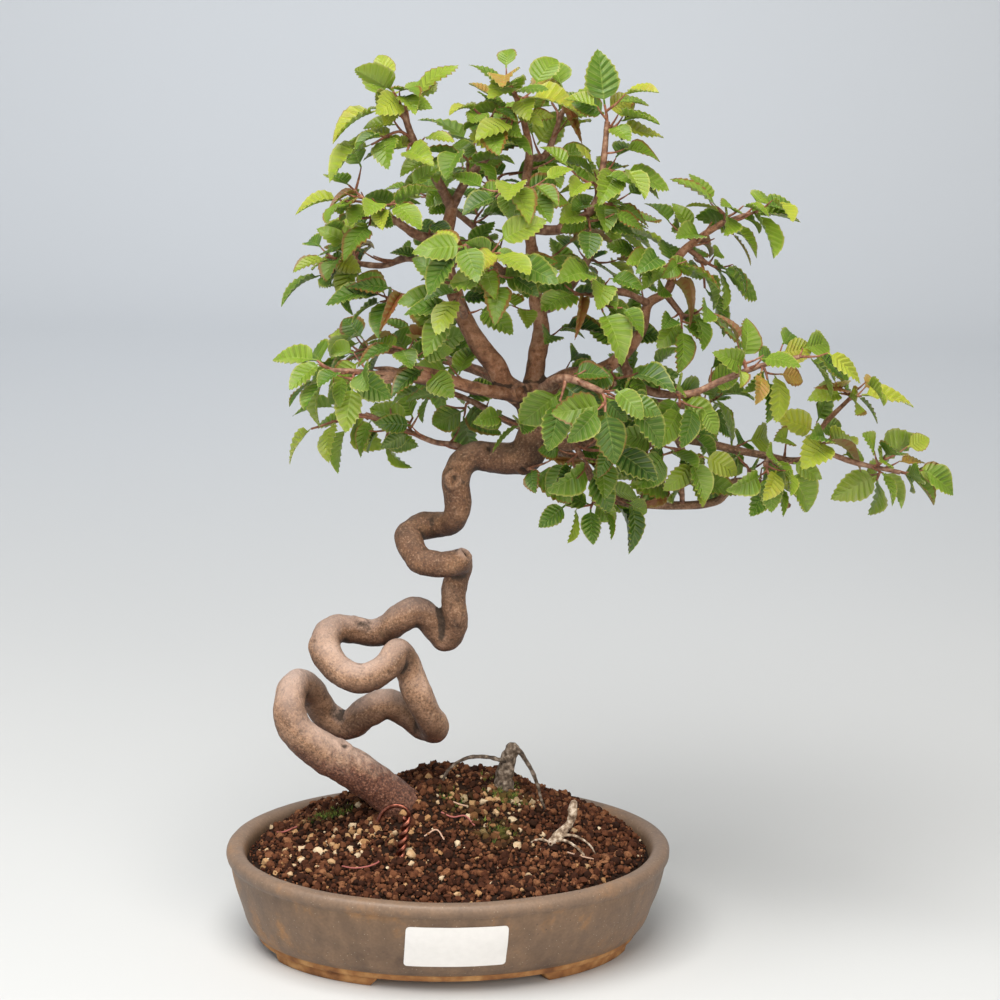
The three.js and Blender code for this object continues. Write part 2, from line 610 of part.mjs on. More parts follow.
// A leaf on a twig: beside is -1 or 1 for a leaf on its left or right, 0 for the one at its tip
function growLeaf(spray, twig, share, beside) {
  const { at, along, across, face: up } = twigFrame(twig, share);
  const out = at.clone().sub(turned(CROWN_HEART)).normalize();
  const outward = beside === 0 ? along : across.clone().multiplyScalar(beside);
  const start = at.clone().addScaledVector(across, beside * TWIG_RADIUS);
  for (let attempt = 0; attempt < LEAF_TRIES; attempt += 1) {
    const loose = 0.3 + 0.06 * attempt;
    const jitter = () => new THREE.Vector3(draw(-1, 1), draw(-1, 1), draw(-1, 1));
    const face = new THREE.Vector3()
      .addScaledVector(up, 0.62)
      .addScaledVector(out, 0.45)
      .addScaledVector(FRONT, 0.25)
      .addScaledVector(jitter(), loose)
      .normalize();
    const aim = new THREE.Vector3()
      .addScaledVector(along, beside === 0 ? 0.3 : 0.5)
      .addScaledVector(outward, 0.85)
      .addScaledVector(out, 0.3)
      .addScaledVector(jitter(), loose);
    const direction = aim.addScaledVector(face, -aim.dot(face)).normalize();
    const length = draw(...LEAF_LENGTH) * (attempt > 7 ? 0.8 : 1);
    const bend = draw(0.4, 1.3);
    if (face.dot(up) < LEAST_TURN || direction.dot(outward) < LEAST_AIM) continue;
    const side = face.clone().cross(direction);
    const leaf = { base: start, along: direction, face, side, length, bend, share, beside };
    const clear = standsClear(leaf, leafSamples(leaf), spray);
    if (clear) {
      grown.push({ ...clear, leaf, twig, spray });
      return;
    }
  }
}

// The tree's own wood
const trunkRuns = TRUNK.map((rows) => smooth(pathOf(rows), TRUNK_STEP));
const limbPaths = Object.fromEntries(Object.entries(LIMBS).map(([name, rows]) => [name, pathOf(rows)]));
const carriers = { trunk: trunkRuns.flat(), ...limbPaths };
function treeWood(grow) {
  const runs = trunkRuns.map((path) => bar(path, TRUNK_SIDES, grow, ELBOW_REACH));
  const limbs = Object.values(limbPaths).map((path) => bar(path, LIMB_SIDES, grow));
  return join([...runs, ...limbs]);
}
const tree = treeWood(0);
const treeSeat = treeWood(GAP);

// The wood of each spray, then its leaves
const sprays = Object.entries(SPRAYS).map(([name, rows]) => ({ name, ...growWood(rows, carriers) }));
for (const path of Object.values(carriers)) wood.push({ spray: "", samples: woodSamples(path) });
for (const { name, stem, twigs } of sprays)
  for (const path of [stem, ...twigs]) wood.push({ spray: name, samples: woodSamples(path) });
for (const { name, twigs } of sprays)
  twigs.forEach((twig, k) => {
    const first = k % 2 === 0 ? 1 : -1;
    growLeaf(name, twig, 1, 0);
    growLeaf(name, twig, LEAF_SHARES[0], first);
    if (twig[0].at.distanceTo(twig[2].at) > LONG_TWIG) growLeaf(name, twig, LEAF_SHARES[1], -first);
  });

// Each spray is cut to its seat on the tree, and clear of the sprays before it
const seats = [treeSeat];
const sprayBodies = sprays.map(({ name, stem, twigs }) => {
  const leafy = twigs.map((twig) =>
    leafySolid(twig, grown.filter((entry) => entry.twig === twig).map((entry) => entry.leaf)),
  );
  const body = mainBody(join([bar(stem, STEM_SIDES), ...leafy]).subtract(join(seats)));
  seats.push(bar(stem, STEM_SIDES, GAP));
  return { name, body };
});

// The twisted tie wire: the outline of its two strands side by side, turned as it climbs
function makeTieWire() {
  const line = new THREE.CatmullRomCurve3(WIRE_LINE.map(turned));
  const rings = Array.from({ length: WIRE_STEPS + 1 }, (_, i) => {
    const share = i / WIRE_STEPS;
    const start = 2 * Math.PI * WIRE_TURNS * share;
    return [0.5, Math.PI - 0.5, Math.PI + 0.5, -0.5].map((corner) => {
      const reach = new THREE.Vector3(Math.cos(start + corner), Math.sin(start + corner), 0);
      return line.getPoint(share).addScaledVector(reach, 2 * WIRE_RADIUS);
    });
  });
  return skin(rings);
}

// The pot's wall at a height: half length and half width
function wallAt(z) {
  const i = POT_WALL.findIndex((ring) => ring[2] > z);
  const [low, high] = [POT_WALL[i - 1], POT_WALL[i]];
  const share = (z - low[2]) / (high[2] - low[2]);
  return [0, 1].map((k) => THREE.MathUtils.lerp(low[k], high[k], share));
}

// A sticker that follows the curve of the pot's front, a hair clear of it
function makeLabel() {
  const row = (z, lift) =>
    Array.from({ length: LABEL_STEPS + 1 }, (_, i) => {
      const x = LABEL_CENTRE + LABEL_HALF_LENGTH * ((2 * i) / LABEL_STEPS - 1);
      const [halfLength, halfWidth] = wallAt(z).map((half) => half + lift);
      return new THREE.Vector3(x, -halfWidth * Math.sqrt(1 - (x / halfLength) ** 2), z);
    });
  const heights = [LABEL_FROM, POT_WALL[3][2], LABEL_TO];
  const outer = heights.map((z) => row(z, GAP + LABEL_THICKNESS));
  const inner = heights.map((z) => row(z, GAP)).reverse();
  return skin(outer[0].map((_, i) => [...outer, ...inner].map((line) => line[i]).reverse()));
}

const tieWire = makeTieWire();
const stump = join([bar(pathOf(STUMP), 7), ...STUMP_ROOTS.map((rows) => bar(pathOf(rows), 4))]);
const paleRoot = join([bar(pathOf(PALE_ROOT), 6), ...PALE_ROOTLETS.map((rows) => bar(pathOf(rows), 4))]);
const inSoil = [
  bar(trunkRuns[0].slice(0, ROOTED), TRUNK_SIDES, GAP, ELBOW_REACH),
  bar(pathOf(STUMP), 7, GAP),
  ...STUMP_ROOTS.map((rows) => bar(pathOf(rows), 4, GAP)),
  bar(pathOf(PALE_ROOT), 6, GAP),
  ...PALE_ROOTLETS.map((rows) => bar(pathOf(rows), 4, GAP)),
  bar(pathOf(WIRE_LINE.map((row) => [...row, WIRE_HOLE])), 6, GAP),
];

const finishes = {
  stoneware: new THREE.MeshStandardMaterial({ color: 0x6f6557, roughness: 0.6, metalness: 0 }),
  akadama: new THREE.MeshStandardMaterial({ color: 0x6a4433, roughness: 0.95, metalness: 0 }),
  bark: new THREE.MeshStandardMaterial({ color: 0x9b8478, roughness: 0.8, metalness: 0 }),
  leaf: new THREE.MeshStandardMaterial({ color: 0x7d9440, roughness: 0.55, metalness: 0 }),
  copper: new THREE.MeshStandardMaterial({ color: 0xa8673f, roughness: 0.4, metalness: 1 }),
  root: new THREE.MeshStandardMaterial({ color: 0xb59a84, roughness: 0.85, metalness: 0 }),
  paper: new THREE.MeshStandardMaterial({ color: 0xf2f1ee, roughness: 0.7, metalness: 0 }),
};

function meshOf(name, solid, material) {
  const { numProp, vertProperties, triVerts } = solid.getMesh();
  const geometry = new THREE.BufferGeometry();
  geometry.setAttribute("position", new THREE.BufferAttribute(new Float32Array(vertProperties), numProp));
  geometry.setIndex(new THREE.BufferAttribute(new Uint32Array(triVerts), 1));
  const mesh = new THREE.Mesh(geometry, material);
  mesh.name = name;
  return mesh;
}

const bonsai = new THREE.Group();
bonsai.add(
  meshOf("pot", makePot(), finishes.stoneware),
  meshOf("soil", mainBody(makeSoil(inSoil)), finishes.akadama),
  meshOf("trunk", tree, finishes.bark),
  meshOf("tie_wire", tieWire, finishes.copper),
  meshOf("root_stump", stump.subtract(treeSeat), finishes.root),
  meshOf("root_right", paleRoot, finishes.root),
  meshOf("label", makeLabel(), finishes.paper),
  ...sprayBodies.map(({ name, body }) => meshOf(name, body, finishes.leaf)),
);

// The origin lies under the middle of the whole tree's box, on the ground
const box = new THREE.Box3().setFromObject(bonsai);
const middle = box.getCenter(new THREE.Vector3());
bonsai.position.set(-middle.x, -middle.y, -box.min.z);
const standing = new THREE.Group();
standing.add(bonsai);

export default standing;
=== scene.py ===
# %% [markdown]
# A Korean hornbeam bonsai in a shallow stoneware pot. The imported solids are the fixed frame: they say
# where the pot, the trunk and every leafy spray stand. Each of them is dressed here with a finer
# surface of the same form. Sizes are written in millimetres and turned to Blender's metres at the end.

# %% Load the frame
import math
from functools import partial

import bpy
import numpy as np
from mathutils import Matrix, Vector


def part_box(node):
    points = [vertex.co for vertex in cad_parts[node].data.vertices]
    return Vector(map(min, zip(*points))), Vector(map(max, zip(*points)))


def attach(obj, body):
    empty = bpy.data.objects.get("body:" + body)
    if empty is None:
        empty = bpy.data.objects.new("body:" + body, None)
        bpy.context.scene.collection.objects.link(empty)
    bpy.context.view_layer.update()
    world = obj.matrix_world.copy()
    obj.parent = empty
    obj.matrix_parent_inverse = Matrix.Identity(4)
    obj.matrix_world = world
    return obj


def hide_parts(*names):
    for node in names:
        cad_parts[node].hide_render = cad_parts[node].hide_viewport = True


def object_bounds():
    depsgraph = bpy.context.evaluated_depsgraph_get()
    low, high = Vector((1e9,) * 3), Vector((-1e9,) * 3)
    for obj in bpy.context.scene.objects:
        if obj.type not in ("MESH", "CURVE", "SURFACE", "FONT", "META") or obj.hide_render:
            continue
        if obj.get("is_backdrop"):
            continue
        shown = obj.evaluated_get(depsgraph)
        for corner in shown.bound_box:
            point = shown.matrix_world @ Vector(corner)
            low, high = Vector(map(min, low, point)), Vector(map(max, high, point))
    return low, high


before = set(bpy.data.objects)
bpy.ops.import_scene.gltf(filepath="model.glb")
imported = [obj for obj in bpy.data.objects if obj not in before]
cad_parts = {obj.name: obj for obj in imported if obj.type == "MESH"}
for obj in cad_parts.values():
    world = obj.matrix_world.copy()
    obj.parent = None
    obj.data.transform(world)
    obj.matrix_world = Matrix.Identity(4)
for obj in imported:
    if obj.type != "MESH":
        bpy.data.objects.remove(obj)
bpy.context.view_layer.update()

# %% [markdown]
# The tree was planted a little turned in its pot, so its own tables are given in a frame that looks
# straight along the camera's heading, and one function turns them to the pot's frame.

# %% Units and frames
MM = 0.001
TREE_TURN = math.radians(-7.5)
TURN = np.array([
    [math.cos(TREE_TURN), -math.sin(TREE_TURN), 0],
    [math.sin(TREE_TURN), math.cos(TREE_TURN), 0],
    [0, 0, 1],
])
pot_low, pot_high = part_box("pot")
POT_CENTRE = np.array([(pot_low.x + pot_high.x) / 2, (pot_low.y + pot_high.y) / 2, 0]) / MM


def turned(points):
    """Points of the tree's own frame, in mm, turned to the pot's: x and y rotate by TREE_TURN."""
    return np.asarray(points, float) @ TURN.T


print("pot centre in mm:", POT_CENTRE.round(2))

# %% [markdown]
# Colours are picked as sRGB hex, the way a paint swatch is named, and Cycles works with linear
# light. One function does the change. One more adds any shader node with its settings and links. The
# patterns are laid on Object coordinates, which are metres, so a size in mm gives their scale.

# %% Colour and node helpers


def rgb(hex_code):
    """sRGB hex to linear: c/12.92 below 0.04045, else ((c + 0.055)/1.055)^2.4."""
    value = np.array([int(hex_code[i:i + 2], 16) for i in (1, 3, 5)]) / 255
    linear = np.where(value <= 0.04045, value / 12.92, ((value + 0.055) / 1.055) ** 2.4)
    return (*linear, 1.0)


def spaced(size):
    """The scale of a noise or cell pattern whose marks are about a size in mm apart: 1 / size in metres."""
    return 1 / (size * MM)


def plug(material, made, inputs):
    """Sets a node's inputs: a socket is linked, a hex colour made linear, and any other value copied."""
    for key, value in inputs.items():
        if isinstance(value, bpy.types.NodeSocket):
            material.node_tree.links.new(value, made.inputs[key])
        else:
            made.inputs[key].default_value = rgb(value) if isinstance(value, str) else value


def node(material, kind, inputs=None, stops=None, take=0, **settings):
    """Adds a shader node with its inputs, settings and the stops of a colour ramp. Returns the output
    to take, which is the first one, or the node itself if take is None."""
    made = material.node_tree.nodes.new("ShaderNode" + kind)
    for key, value in settings.items():
        setattr(made, key, value)
    plug(material, made, inputs or {})
    if stops:
        line = made.color_ramp.elements
        while len(line) < len(stops):
            line.new(0.5)
        for element, (place, colour) in zip(line, stops):
            element.position = place
            element.color = rgb(colour) if isinstance(colour, str) else (colour, colour, colour, 1)
    return made if take is None else made.outputs[take]


def new_material(name):
    """An empty node material with its output; returns the material and its Principled shader."""
    material = bpy.data.materials.new(name)
    material.use_nodes = True
    material.node_tree.nodes.clear()
    shader = node(material, "BsdfPrincipled", take=None)
    node(material, "OutputMaterial", {"Surface": shader.outputs[0]}, take=None)
    return material, shader


def complete(material, shader, inputs):
    """Sets the last inputs, those of the Principled shader, and says how many nodes the finish took."""
    plug(material, shader, inputs)
    print(f"{material.name}: {len(material.node_tree.nodes)} nodes")


# %% [markdown]
# A piece of this tree is one mesh made of many patches: grids, tubes and leaves. A patch is a set of
# points with its faces, and each point carries a few numbers for the material, such as how old the
# bark is. The patches are stacked and written into the mesh as whole arrays.

# %% Mesh helpers
SHARP_ANGLE = math.radians(50)
# What each point carries for its material; what it means differs from finish to finish.
KEYS = ("tone", "kind", "under")
# Large primes that scatter a lattice cell's numbers and its seed.
CELL_PRIMES = np.array([374761393, 668265263, 2147483647])
SEED_PRIME = 974634777
MIX_PRIME = 1274126177


def grid_quads(rows, columns, closed=False):
    """Faces of a grid of rows x columns points; closed joins the last column to the first."""
    wide = columns if closed else columns - 1
    i, j = np.meshgrid(np.arange(rows - 1), np.arange(wide), indexing="ij")
    a = i * columns + j
    b = i * columns + (j + 1) % columns
    return np.stack([a, b, b + columns, a + columns], -1).reshape(-1, 4)


def patch(points, quads=(), tris=(), uv=None, tone=0.0, kind=0.0, under=0.0, finish=0, smooth=True):
    """One patch of a piece: points in mm, faces, and what its material reads at each point."""
    count = len(points)
    return {
        "points": np.asarray(points, float),
        "quads": np.asarray(quads, int).reshape(-1, 4),
        "tris": np.asarray(tris, int).reshape(-1, 3),
        "uv": np.zeros((count, 2)) if uv is None else np.asarray(uv, float),
        "tone": np.broadcast_to(np.asarray(tone, float), count),
        "kind": np.broadcast_to(np.asarray(kind, float), count),
        "under": np.broadcast_to(np.asarray(under, float), count),
        "finish": finish,
        "smooth": smooth,
    }


def build(name, patches, materials, replaces=()):
    """Stacks patches into one object at the origin, in metres, and ties it to the frame."""
    offsets = np.cumsum([0] + [len(p["points"]) for p in patches])
    points = np.concatenate([p["points"] for p in patches]) * MM
    quads = np.concatenate([p["quads"] + o for p, o in zip(patches, offsets)])
    tris = np.concatenate([p["tris"] + o for p, o in zip(patches, offsets)])
    corners = np.concatenate([quads.ravel(), tris.ravel()])
    sizes = np.concatenate([np.full(len(quads), 4), np.full(len(tris), 3)])
    mesh = bpy.data.meshes.new(name)
    mesh.vertices.add(len(points))
    mesh.vertices.foreach_set("co", points.astype(np.float32).ravel())
    mesh.loops.add(len(corners))
    mesh.loops.foreach_set("vertex_index", corners.astype(np.int32))
    mesh.polygons.add(len(sizes))
    mesh.polygons.foreach_set("loop_start", (np.cumsum(sizes) - sizes).astype(np.int32))
    for key, field in (("finish", "material_index"), ("smooth", "use_smooth")):
        values = [np.full(len(p[part]), p[key]) for part in ("quads", "tris") for p in patches]
        mesh.polygons.foreach_set(field, np.concatenate(values))
    mesh.update(calc_edges=True)
    uv = np.concatenate([p["uv"] for p in patches])[corners]
    mesh.uv_layers.new(name="UVMap").data.foreach_set("uv", uv.astype(np.float32).ravel())
    for key in KEYS:
        values = np.concatenate([p[key] for p in patches]).astype(np.float32)
        mesh.attributes.new(key, "FLOAT", "POINT").data.foreach_set("value", values)
    mesh.validate()
    mesh.set_sharp_from_angle(angle=SHARP_ANGLE)
    piece = bpy.data.objects.new(name, mesh)
    bpy.context.scene.collection.objects.link(piece)
    for material in materials:
        mesh.materials.append(material)
    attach(piece, "root")
    if replaces:
        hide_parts(*replaces)
    triangles = 2 * len(quads) + len(tris)
    print(f"{name}: {len(points)} points, {triangles} triangles")


def value_noise(points, size, seed):
    """Smooth random numbers from -1 to 1: hashed values on a lattice of the given size in mm,
    blended between the eight corners round each point with the smoothstep 3t^2 - 2t^3."""
    place = np.asarray(points, float) / size
    low = np.floor(place).astype(np.int64)
    t = place - low
    t = t * t * (3 - 2 * t)
    total = np.zeros(len(place))
    for corner in np.ndindex(2, 2, 2):
        cell = low + corner
        mixed = cell @ CELL_PRIMES + seed * SEED_PRIME
        mixed = (mixed ^ (mixed >> 13)) * MIX_PRIME
        value = ((mixed ^ (mixed >> 16)) & 0xFFFF) / 32767.5 - 1
        weight = np.prod(np.where(corner, t, 1 - t), axis=1)
        total += weight * value
    return total


# %% [markdown]
# Branches, twigs, roots and wire are tubes: a ring of points carried along a path. The ring keeps its
# direction from step to step, so the tube doesn't twist, and both ends are closed by a pole.

# %% Tubes


# A curve's length is measured in this many parts.
CURVE_PARTS = 200
# The first ring's direction, which no branch follows, and how far the poles stand out, in radii.
FIRST_ACROSS = np.array([0.36, 0.48, 0.8])
FOOT_BULGE, TIP_BULGE = 0.3, 0.5


def smooth_path(rows, step):
    """A centripetal Catmull-Rom curve through rows of (x, y, z, radius), at even steps of its length.
    Knots are d = |p2 - p1|^0.5 apart, and the tangent at p1 is
    d12 ((p1 - p0)/d01 - (p2 - p0)/(d01 + d12) + (p2 - p1)/d12)."""
    rows = np.asarray(rows, float)
    place = rows[:, :3]
    p = np.vstack([2 * place[0] - place[1], place, 2 * place[-1] - place[-2]])
    d = np.sqrt(np.linalg.norm(np.diff(p, axis=0), axis=1))[:, None]
    d01, d12, d23 = d[:-2], d[1:-1], d[2:]
    p0, p1, p2, p3 = p[:-3], p[1:-2], p[2:-1], p[3:]
    m1 = d12 * ((p1 - p0) / d01 - (p2 - p0) / (d01 + d12) + (p2 - p1) / d12)
    m2 = d12 * ((p2 - p1) / d12 - (p3 - p1) / (d12 + d23) + (p3 - p2) / d23)

    def curve(t):
        """Places at shares t of the rows' count: p1 (h + 1) + m1 (s^3 - 2s^2 + s) - p2 h
        + m2 (s^3 - s^2), with h = 2s^3 - 3s^2."""
        i = np.minimum(np.floor(t * len(p1)).astype(int), len(p1) - 1)
        s = (t * len(p1) - i)[:, None]
        h = 2 * s ** 3 - 3 * s ** 2
        bends = m1[i] * (s ** 3 - 2 * s ** 2 + s), m2[i] * (s ** 3 - s ** 2)
        return p1[i] * (h + 1) + bends[0] - p2[i] * h + bends[1]

    shares = np.arange(CURVE_PARTS + 1) / CURVE_PARTS
    length = np.concatenate([[0], np.cumsum(np.linalg.norm(np.diff(curve(shares), axis=0), axis=1))])
    count = max(2, math.floor(length[-1] / step + 0.5))
    t = np.interp(np.arange(count + 1) / count * length[-1], length, shares)
    return np.column_stack([curve(t), np.interp(t * len(p1), np.arange(len(rows)), rows[:, 3])])


def tube(path, sides, tone=0.0, kind=0.0, under=0.0):
    """A tube round a path of (x, y, z, radius) in mm: ring k at centre + r (cos a A + sin a B), where
    A is the last ring's A made square to the path and B = path x A. Poles close its ends. Its UV map
    runs once round the tube and along it in mm."""
    centre, radius = path[:, :3], path[:, 3]
    along = np.gradient(centre, axis=0)
    along /= np.linalg.norm(along, axis=1, keepdims=True) + 1e-12
    across = np.empty_like(along)
    last = FIRST_ACROSS
    for k, direction in enumerate(along):
        last = last - direction * (last @ direction)
        last = last / np.linalg.norm(last)
        across[k] = last
    third = np.cross(along, across)
    angle = 2 * np.pi * np.arange(sides) / sides
    ring = np.cos(angle)[None, :, None] * across[:, None] + np.sin(angle)[None, :, None] * third[:, None]
    points = (centre[:, None] + radius[:, None, None] * ring).reshape(-1, 3)
    length = np.concatenate([[0], np.cumsum(np.linalg.norm(np.diff(centre, axis=0), axis=1))])
    uv = np.stack([np.tile(angle / (2 * np.pi), len(path)), np.repeat(length, sides)], 1)
    first, end = len(points), len(points) + 1
    foot_pole = centre[0] - FOOT_BULGE * radius[0] * along[0]
    tip_pole = centre[-1] + TIP_BULGE * radius[-1] * along[-1]
    points = np.vstack([points, foot_pole, tip_pole])
    uv = np.vstack([uv, [0, 0], [0, length[-1]]])
    k = np.arange(sides)
    foot = np.stack([np.full(sides, first), (k + 1) % sides, k], 1)
    base = (len(path) - 1) * sides
    tip = np.stack([np.full(sides, end), base + k, base + (k + 1) % sides], 1)
    quads = grid_quads(len(path), sides, closed=True)
    return patch(points, quads, np.vstack([foot, tip]), uv, tone, kind, under)


# %% [markdown]
# ## Camera, light and floor
# The photograph was taken from the front, a little above the crown's middle, with a long lens. Soft
# light falls from a wide overhead box and a pale room, so shadows are faint. A long lens is a narrow
# angle: the focal length over the sensor's width is the focal length over the picture's, in pixels.

# %% Camera
FOCAL_PIXELS = 3000
IMAGE_SIDE = 1000
SENSOR = 36
CAMERA_PLACE = np.array([22.4, -1445.3, 581.8])
CAMERA_PITCH = 13.6
CAMERA_ROLL = 1.2

camera_data = bpy.data.cameras.new("camera")
camera_data.sensor_width = SENSOR
camera_data.lens = FOCAL_PIXELS / IMAGE_SIDE * SENSOR
camera_data.clip_start = 0.05
camera_data.clip_end = 20
camera = bpy.data.objects.new("camera", camera_data)
bpy.context.scene.collection.objects.link(camera)
aim = (Matrix.Rotation(TREE_TURN, 4, "Z") @ Matrix.Rotation(math.radians(90 - CAMERA_PITCH), 4, "X")
       @ Matrix.Rotation(math.radians(CAMERA_ROLL), 4, "Z"))
camera.matrix_world = Matrix.Translation(Vector((turned(CAMERA_PLACE) + POT_CENTRE) * MM)) @ aim
bpy.context.scene.camera = camera

# %% Light and floor


def area_light(name, place, size, power, colour, target=(0, 0, 0.2)):
    """A soft square light at a place in metres, of a size in metres and a power in watts, turned to a
    target, which is the middle of the tree if nothing else is said."""
    data = bpy.data.lights.new(name, "AREA")
    data.size = size
    data.energy = power
    data.color = rgb(colour)[:3]
    lamp = bpy.data.objects.new(name, data)
    lamp.location = place
    lamp.rotation_euler = (Vector(target) - Vector(place)).to_track_quat("-Z", "Y").to_euler()
    bpy.context.scene.collection.objects.link(lamp)
    return data


# Three boxes light the tree. The last one is behind it and lights only the wall.
area_light("overhead", (-0.4, -0.65, 1.6), 1.2, 38, "#FFFDF8")
area_light("front_fill", (0.6, -2.0, 0.8), 1.2, 22, "#FFF5E8")
area_light("left_fill", (-1.8, -0.6, 0.8), 1.0, 5, "#F6FAFF")
back_wash = area_light("back_wash", (0, 1.0, 1.9), 1.4, 7.5, "#E2EEFF", target=(0, 2.3, 0.3))
back_wash.spread = math.radians(110)

world = bpy.data.worlds.new("pale_room")
world.use_nodes = True
room = world.node_tree.nodes["Background"].inputs
room["Color"].default_value = rgb("#EEF3F6")
room["Strength"].default_value = 0.33
bpy.context.scene.world = world
bpy.context.scene.view_settings.view_transform = "Standard"

# Matt emulsion paint: no gleam, so the floor shows nothing but the light and the soft shadow.
floor_paint, floor_shader = new_material("matt_pale_paint")
complete(floor_paint, floor_shader, {"Base Color": "#D0D1D2", "Roughness": 0.9})

# The floor runs back and curves up into a wall, as a studio sweep does. The wall stands farther off than
# the camera does, so the object can be seen from behind too.
SWEEP_FRONT, SWEEP_BACK = -3000, 1700
SWEEP_RADIUS = 700
SWEEP_TOP = 4000
SWEEP_SIDES = np.array([-4000, 4000])
SWEEP_STEPS = 24
turn = np.linspace(0, math.pi / 2, SWEEP_STEPS)
line = np.vstack([
    [[SWEEP_FRONT, 0]],
    np.stack([SWEEP_BACK + SWEEP_RADIUS * np.sin(turn), SWEEP_RADIUS * (1 - np.cos(turn))], 1),
    [[SWEEP_BACK + SWEEP_RADIUS, SWEEP_TOP]],
])
sweep = np.stack([np.repeat(SWEEP_SIDES, len(line)), np.tile(line[:, 0], 2), np.tile(line[:, 1], 2)], 1)
sweep_mesh = bpy.data.meshes.new("floor")
sweep_mesh.from_pydata((turned(sweep) * MM).tolist(), [], grid_quads(2, len(line))[:, ::-1].tolist())
sweep_mesh.materials.append(floor_paint)
sweep_mesh.polygons.foreach_set("use_smooth", np.ones(len(sweep_mesh.polygons), bool))
floor = bpy.data.objects.new("floor", sweep_mesh)
bpy.context.scene.collection.objects.link(floor)
floor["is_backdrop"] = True
print("camera lens in mm:", round(camera_data.lens, 1))

# %% [markdown]
# ## The pot
# Shallow ovals like this are thrown or pressed from iron-bearing stoneware and fired with a thin
# matt glaze that breaks from grey-brown to ochre. The foot is left bare, so it burns to tan and orange.
# The wall is one profile carried round an oval: half length and half width change along it.

# %% Pot surface
POT_SIDES = 180
PROFILE_STEP = 1.1
# Half length, half width and height in mm, from the middle of the base over the rim to the inside floor.
POT_PROFILE = np.array([
    [0, 0, 5], [60, 36, 5], [92.5, 65, 5], [96.6, 69.1, 5], [97.2, 69.7, 5.4], [97.5, 70.1, 6.6],
    [97.7, 70.3, 8], [98, 70.6, 8.5], [99.2, 71.9, 8.9], [100.3, 73.4, 10.4], [102.6, 76.4, 14],
    [105.2, 79.9, 21.5], [108.2, 84, 31], [109.9, 86.2, 37.5], [111, 87.6, 43.2], [111.3, 87.9, 44.6],
    [112.1, 88.9, 45.6], [112.9, 89.9, 47], [113.2, 90.3, 48.7], [113, 90.1, 50.3], [112.3, 89.4, 51.5],
    [111, 88.2, 52.2], [109.2, 86.4, 52.4], [107, 84.3, 52.2], [105.3, 82.6, 51.5], [104.3, 81.7, 50.4],
    [103.4, 80.9, 48.6], [102.4, 79.6, 44], [100.6, 77.4, 31], [97, 72, 18], [93, 66, 12], [88, 60, 10.6],
    [0, 0, 10.6],
])
profile = smooth_path(np.column_stack([POT_PROFILE, np.zeros(len(POT_PROFILE))]), PROFILE_STEP)
# The first and the last point are the poles. Others so near to the middle would only make slivers.
NEAR_MIDDLE = 0.5
is_pole = np.arange(len(profile)) % (len(profile) - 1) == 0
profile = profile[(profile[:, 0] > NEAR_MIDDLE) | is_pole]
angle = 2 * np.pi * np.arange(POT_SIDES) / POT_SIDES
pot_points = np.stack([
    profile[:, :1] * np.cos(angle),
    profile[:, 1:2] * np.sin(angle),
    np.repeat(profile[:, 2:3], POT_SIDES, 1),
], -1).reshape(-1, 3)
# Hand work leaves the wall a few tenths of a millimetre out of true, most along its length: how deep
# in mm, how long a wave, how it is squeezed upwards, and its seed. The rim rolls up and down a little.
WALL_WAVES = [(0.35, 26, 2.5, 3), (0.12, 7, 1, 4)]
TRUE_BELOW, WAVES_FADE = 6, 20
RIM_FROM, RIM_ROLL, RIM_WAVE = 45, 0.25, 40


def out_of_true(points):
    """Wall points moved in or out by two sizes of noise, which fade in above the foot."""
    outwards = points * [1, 1, 0]
    outwards /= np.linalg.norm(outwards, axis=1, keepdims=True) + 1e-9
    share = np.clip((points[:, 2] - TRUE_BELOW) / WAVES_FADE, 0, 1)
    wobble = sum(deep * value_noise(points * [1, 1, up], size, seed) for deep, size, up, seed in WALL_WAVES)
    return points + outwards * (share * wobble)[:, None]


pot_points = out_of_true(pot_points)
roll = RIM_ROLL * value_noise(pot_points * [1, 1, 0], RIM_WAVE, 5)
pot_points[:, 2] += np.where(pot_points[:, 2] > RIM_FROM, roll, 0)
pot_quads = grid_quads(len(profile), POT_SIDES, closed=True)

# %% [markdown]
# Four long feet follow the oval under the wall. Each is a low bar with a level sole whose ends sweep
# up to the pot, and it stands in a little from the wall.

# %% Feet
FOOT_FROM, FOOT_TO = 20, 64
FOOT_STEPS = 41
FOOT_HALF_AXES = np.array([96.5, 69])
FOOT_WIDTH = 11
BASE_HEIGHT = 5
# A foot's section: how far in from its outer oval in mm, and its height as a share of the base's.
FOOT_SECTION = np.array([
    [FOOT_WIDTH, 1.2], [FOOT_WIDTH, 0.18], [FOOT_WIDTH - 0.8, 0.02], [FOOT_WIDTH / 2, 0],
    [2.1, 0.02], [1.4, 0.16], [1.1, 0.6], [1.1, 1.2],
])
# Each end rises by this share of the height over this share of the length.
END_RISE, END_SHARE = 0.75, 0.05


